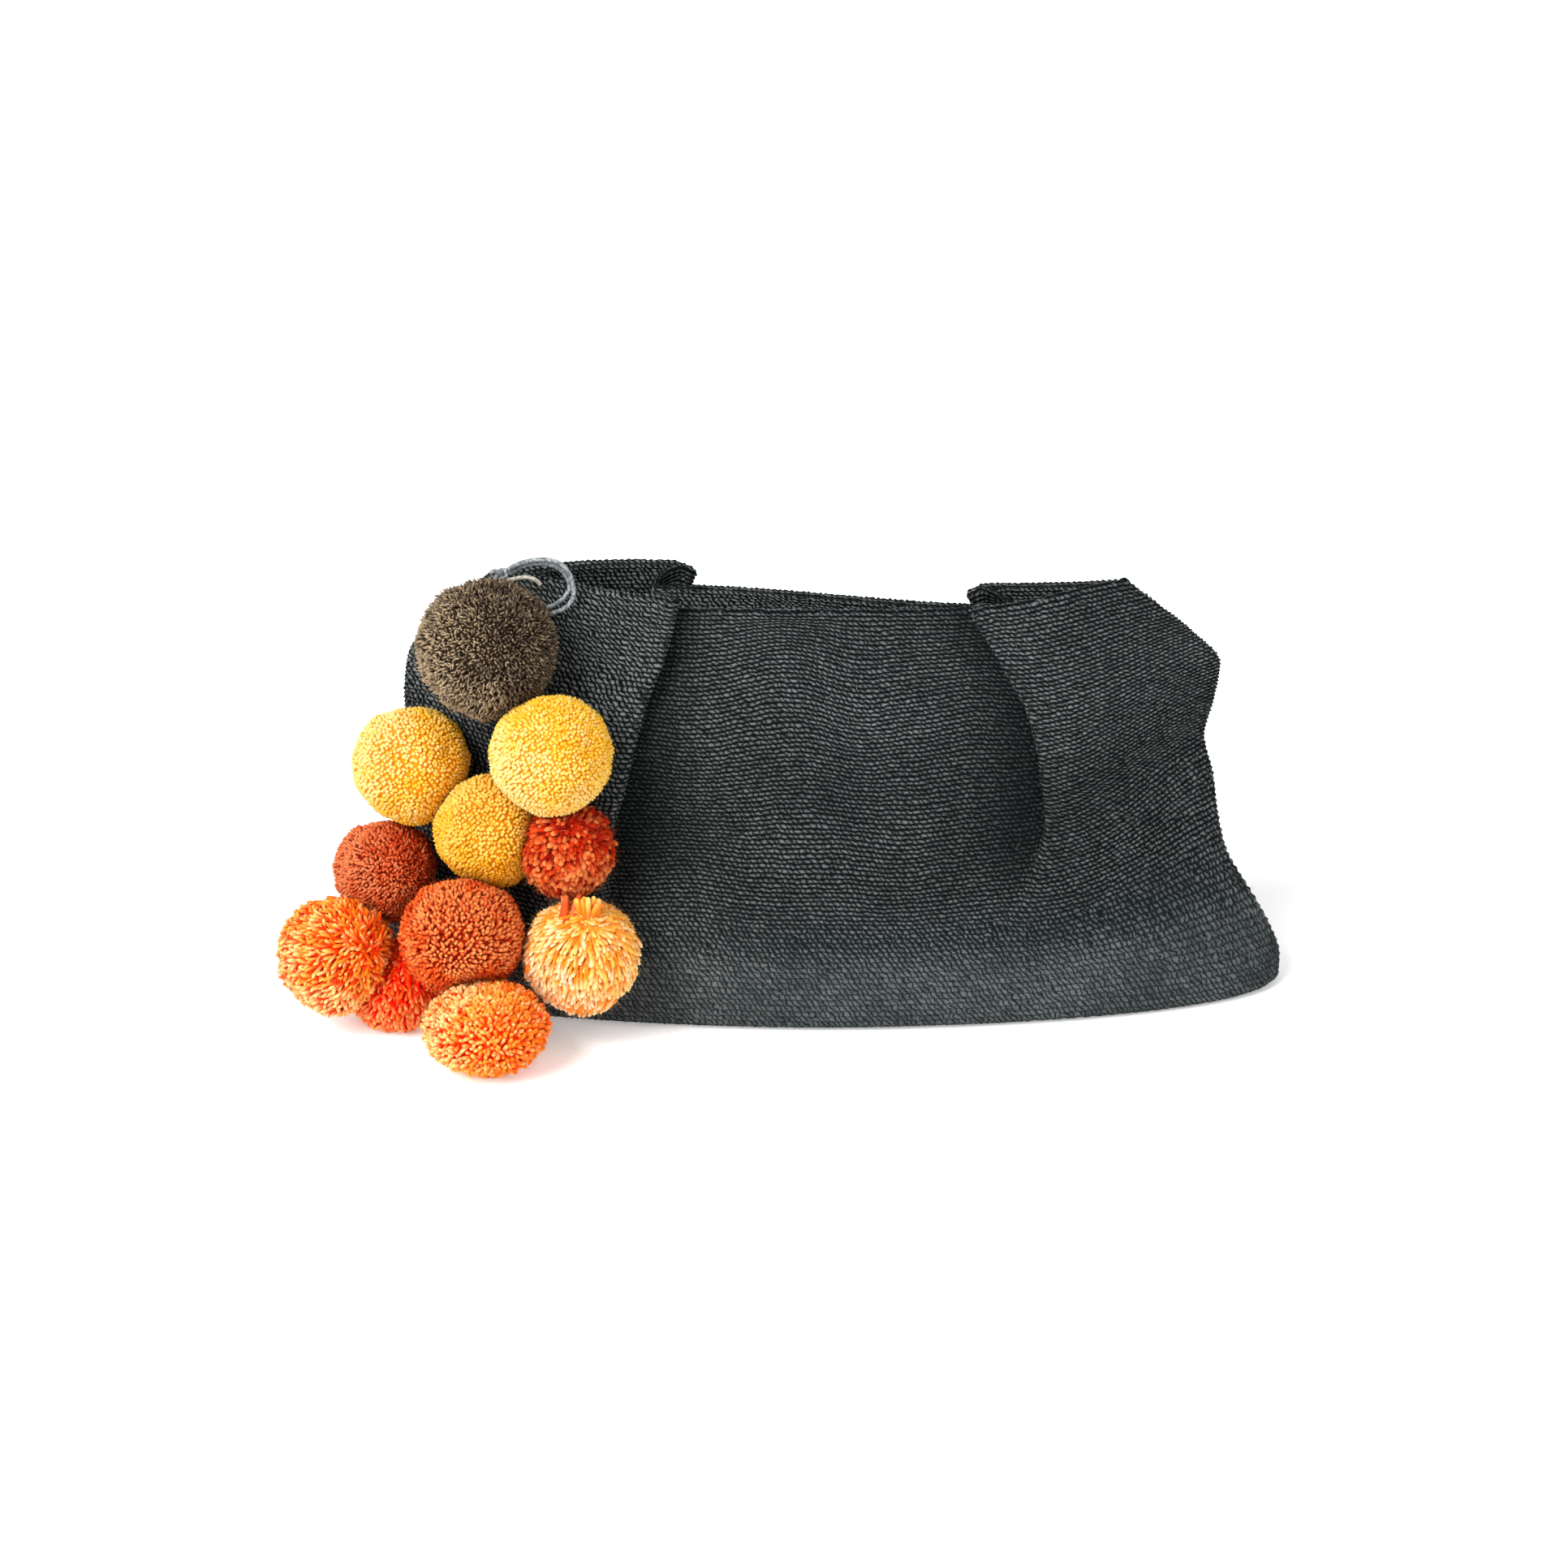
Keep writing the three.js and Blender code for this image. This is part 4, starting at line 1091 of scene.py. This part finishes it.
def through(points, steps):
    """A Catmull-Rom curve through points, each stretch cut in steps."""
    p = np.array(points, float)
    p = np.concatenate([[2 * p[0] - p[1]], p, [2 * p[-1] - p[-2]]])
    t = np.linspace(0, 1, steps, endpoint=False)[None, :, None]
    a, b, c, d = (p[i : len(p) - 3 + i, None, :] for i in range(4))
    square, cube = 2 * a - 5 * b + 4 * c - d, 3 * b - a - 3 * c + d
    curve = 0.5 * (2 * b + (c - a) * t + square * t * t + cube * t ** 3)
    return np.concatenate([curve.reshape(-1, 3), p[-2:-1]])


def lace_curve(name, route, material):
    """A round lace as a curve of one open spline through a route."""
    line = through(np.array(route) * MM + KNOT_MIDDLE, LACE_STEPS)
    curve = bpy.data.curves.new(name, "CURVE")
    curve.dimensions = "3D"
    curve.bevel_depth = LACE / 2
    curve.bevel_resolution = 4
    curve.use_fill_caps = True
    spline = curve.splines.new("POLY")
    spline.points.add(len(line) - 1)
    spline.points.foreach_set("co", np.column_stack([line, np.ones(len(line))]).ravel())
    spline.use_smooth = True
    curve.materials.append(material)
    piece = bpy.data.objects.new(name, curve)
    bpy.context.scene.collection.objects.link(piece)
    return piece, line


def swept(line, radius, sides):
    """A closed tube along a line: rings square to its run, turned as little as may be."""
    line = np.asarray(line)
    run = unit(np.gradient(line, axis=0))
    across = np.empty_like(run)
    guide = np.cross(run[0], (0.3, 0.5, 0.81))
    for i, direction in enumerate(run):
        guide = guide - direction * (guide @ direction)
        guide = guide / np.linalg.norm(guide)
        across[i] = guide
    second = np.cross(run, across)
    turn = 2 * math.pi * np.arange(sides) / sides
    ring = np.cos(turn)[None, :, None] * across[:, None] + np.sin(turn)[None, :, None] * second[:, None]
    points = line[:, None] + ring * np.broadcast_to(radius, len(line))[:, None, None]
    faces = grid_faces(len(line), sides, close_columns=True).tolist()
    last = (len(line) - 1) * sides
    faces += [list(range(sides))[::-1], list(range(last, last + sides))]
    return points, faces


def build_lace(grey, cut):
    """The two turns of the lace, its knot and its pale cut end."""
    for name, route, length, node in (
        ("lace_outer_turn", LOOP_OUTER, LOOP_OUTER_LENGTH, "lace_loop_outer"),
        ("lace_inner_turn", LOOP_INNER, LOOP_INNER_LENGTH, "lace_loop_inner"),
    ):
        piece, line = lace_curve(name, route, grey)
        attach(piece, BODY)
        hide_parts(node)
    turn = np.linspace(0, 2 * math.pi, KNOT_POINTS, endpoint=False)
    trefoil = np.stack([
        np.sin(turn) + 2 * np.sin(2 * turn),
        -np.sin(3 * turn),
        np.cos(turn) - 2 * np.cos(2 * turn),
    ], axis=-1)
    line = trefoil * KNOT_ARM + KNOT_MIDDLE
    points, faces = swept(np.concatenate([line, line[:1]]), LACE / 2 * KNOT_THICK, 10)
    knot = add_mesh("lace_overhand_knot", points, faces, grey)
    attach(knot, BODY)
    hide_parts("lace_knot")
    line = through(np.array(TAIL) * MM + KNOT_MIDDLE, LACE_STEPS)
    points, faces = swept(line, LACE / 2, 12)
    tail = add_mesh("lace_cut_tail", points, faces, cut)
    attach(tail, BODY)
    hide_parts("lace_tail")


def place_camera():
    """Looks down at the clutch from the front, as the photograph does."""
    camera = bpy.data.cameras.new("camera")
    camera.lens = CAMERA_LENS
    camera.sensor_width = CAMERA_SENSOR
    seen = bpy.data.objects.new("camera", camera)
    bpy.context.scene.collection.objects.link(seen)
    x, y, z = CAMERA_TARGET
    away, up = math.cos(CAMERA_ELEVATION), math.sin(CAMERA_ELEVATION)
    seen.location = (x, y - CAMERA_DISTANCE * away, z + CAMERA_DISTANCE * up)
    seen.rotation_euler = (math.pi / 2 - CAMERA_ELEVATION, 0, 0)
    bpy.context.scene.camera = seen


def place_studio():
    """A pale glowing floor, an even surround and a large soft light from the upper left."""
    corners = [(x, y, 0.0) for x, y in ((-1, -1), (1, -1), (1, 1), (-1, 1))]
    floor = add_mesh("studio_floor", np.array(corners) * FLOOR_REACH, [[0, 1, 2, 3]], floor_material())
    world = bpy.data.worlds.new("surround")
    world.use_nodes = True
    world.node_tree.nodes["Background"].inputs["Color"].default_value = (1, 1, 1, 1)
    world.node_tree.nodes["Background"].inputs["Strength"].default_value = SURROUND
    bpy.context.scene.world = world
    for name, way, angle, strength in SUNS:
        light = bpy.data.lights.new(name, "SUN")
        light.angle = math.radians(angle)
        light.energy = strength
        lamp = bpy.data.objects.new(name, light)
        bpy.context.scene.collection.objects.link(lamp)
        x, y, z = way
        lamp.location = way
        lamp.rotation_euler = (math.atan2(math.hypot(x, y), z), 0, math.atan2(x, -y))


def floor_material():
    """Near-white, and lit through from below as a photographer's table is."""
    material, w, shader = new_material("Pale paper floor")
    tone = w.noise(place_vector(w), 3.0)
    w.feed(shader.inputs["Base Color"], w.mix(tone, (0.93, 0.93, 0.93, 1), (0.95, 0.95, 0.95, 1)))
    shader.inputs["Roughness"].default_value = 0.9
    shader.inputs["Specular IOR Level"].default_value = 0.1
    shader.inputs["Emission Color"].default_value = (1, 1, 1, 1)
    shader.inputs["Emission Strength"].default_value = 0.3
    return material


bpy.context.scene.view_settings.view_transform = "Standard"
place_camera()
LACE_GREY = lace_material("Grey waxed lace", (84, 90, 92), (176, 182, 183))
LACE_CUT = lace_material("Pale cut lace", (140, 136, 122), (196, 190, 172))
build_lace(LACE_GREY, LACE_CUT)
place_studio()
build_bag(sisal_material(crochet_group()), hair_material())
FIBRES = wool_group()
WOOL_MATERIALS = {slot: wool_material(slot, FIBRES) for slot in WOOLS}
for order, ball in enumerate(POMPOMS):
    build_pompom(order, ball, WOOL_MATERIALS[ball.slot])
for order, (name, slot, *places) in enumerate(BARE_YARNS):
    build_bare_yarns(order, name, slot, *places, WOOL_MATERIALS[slot])
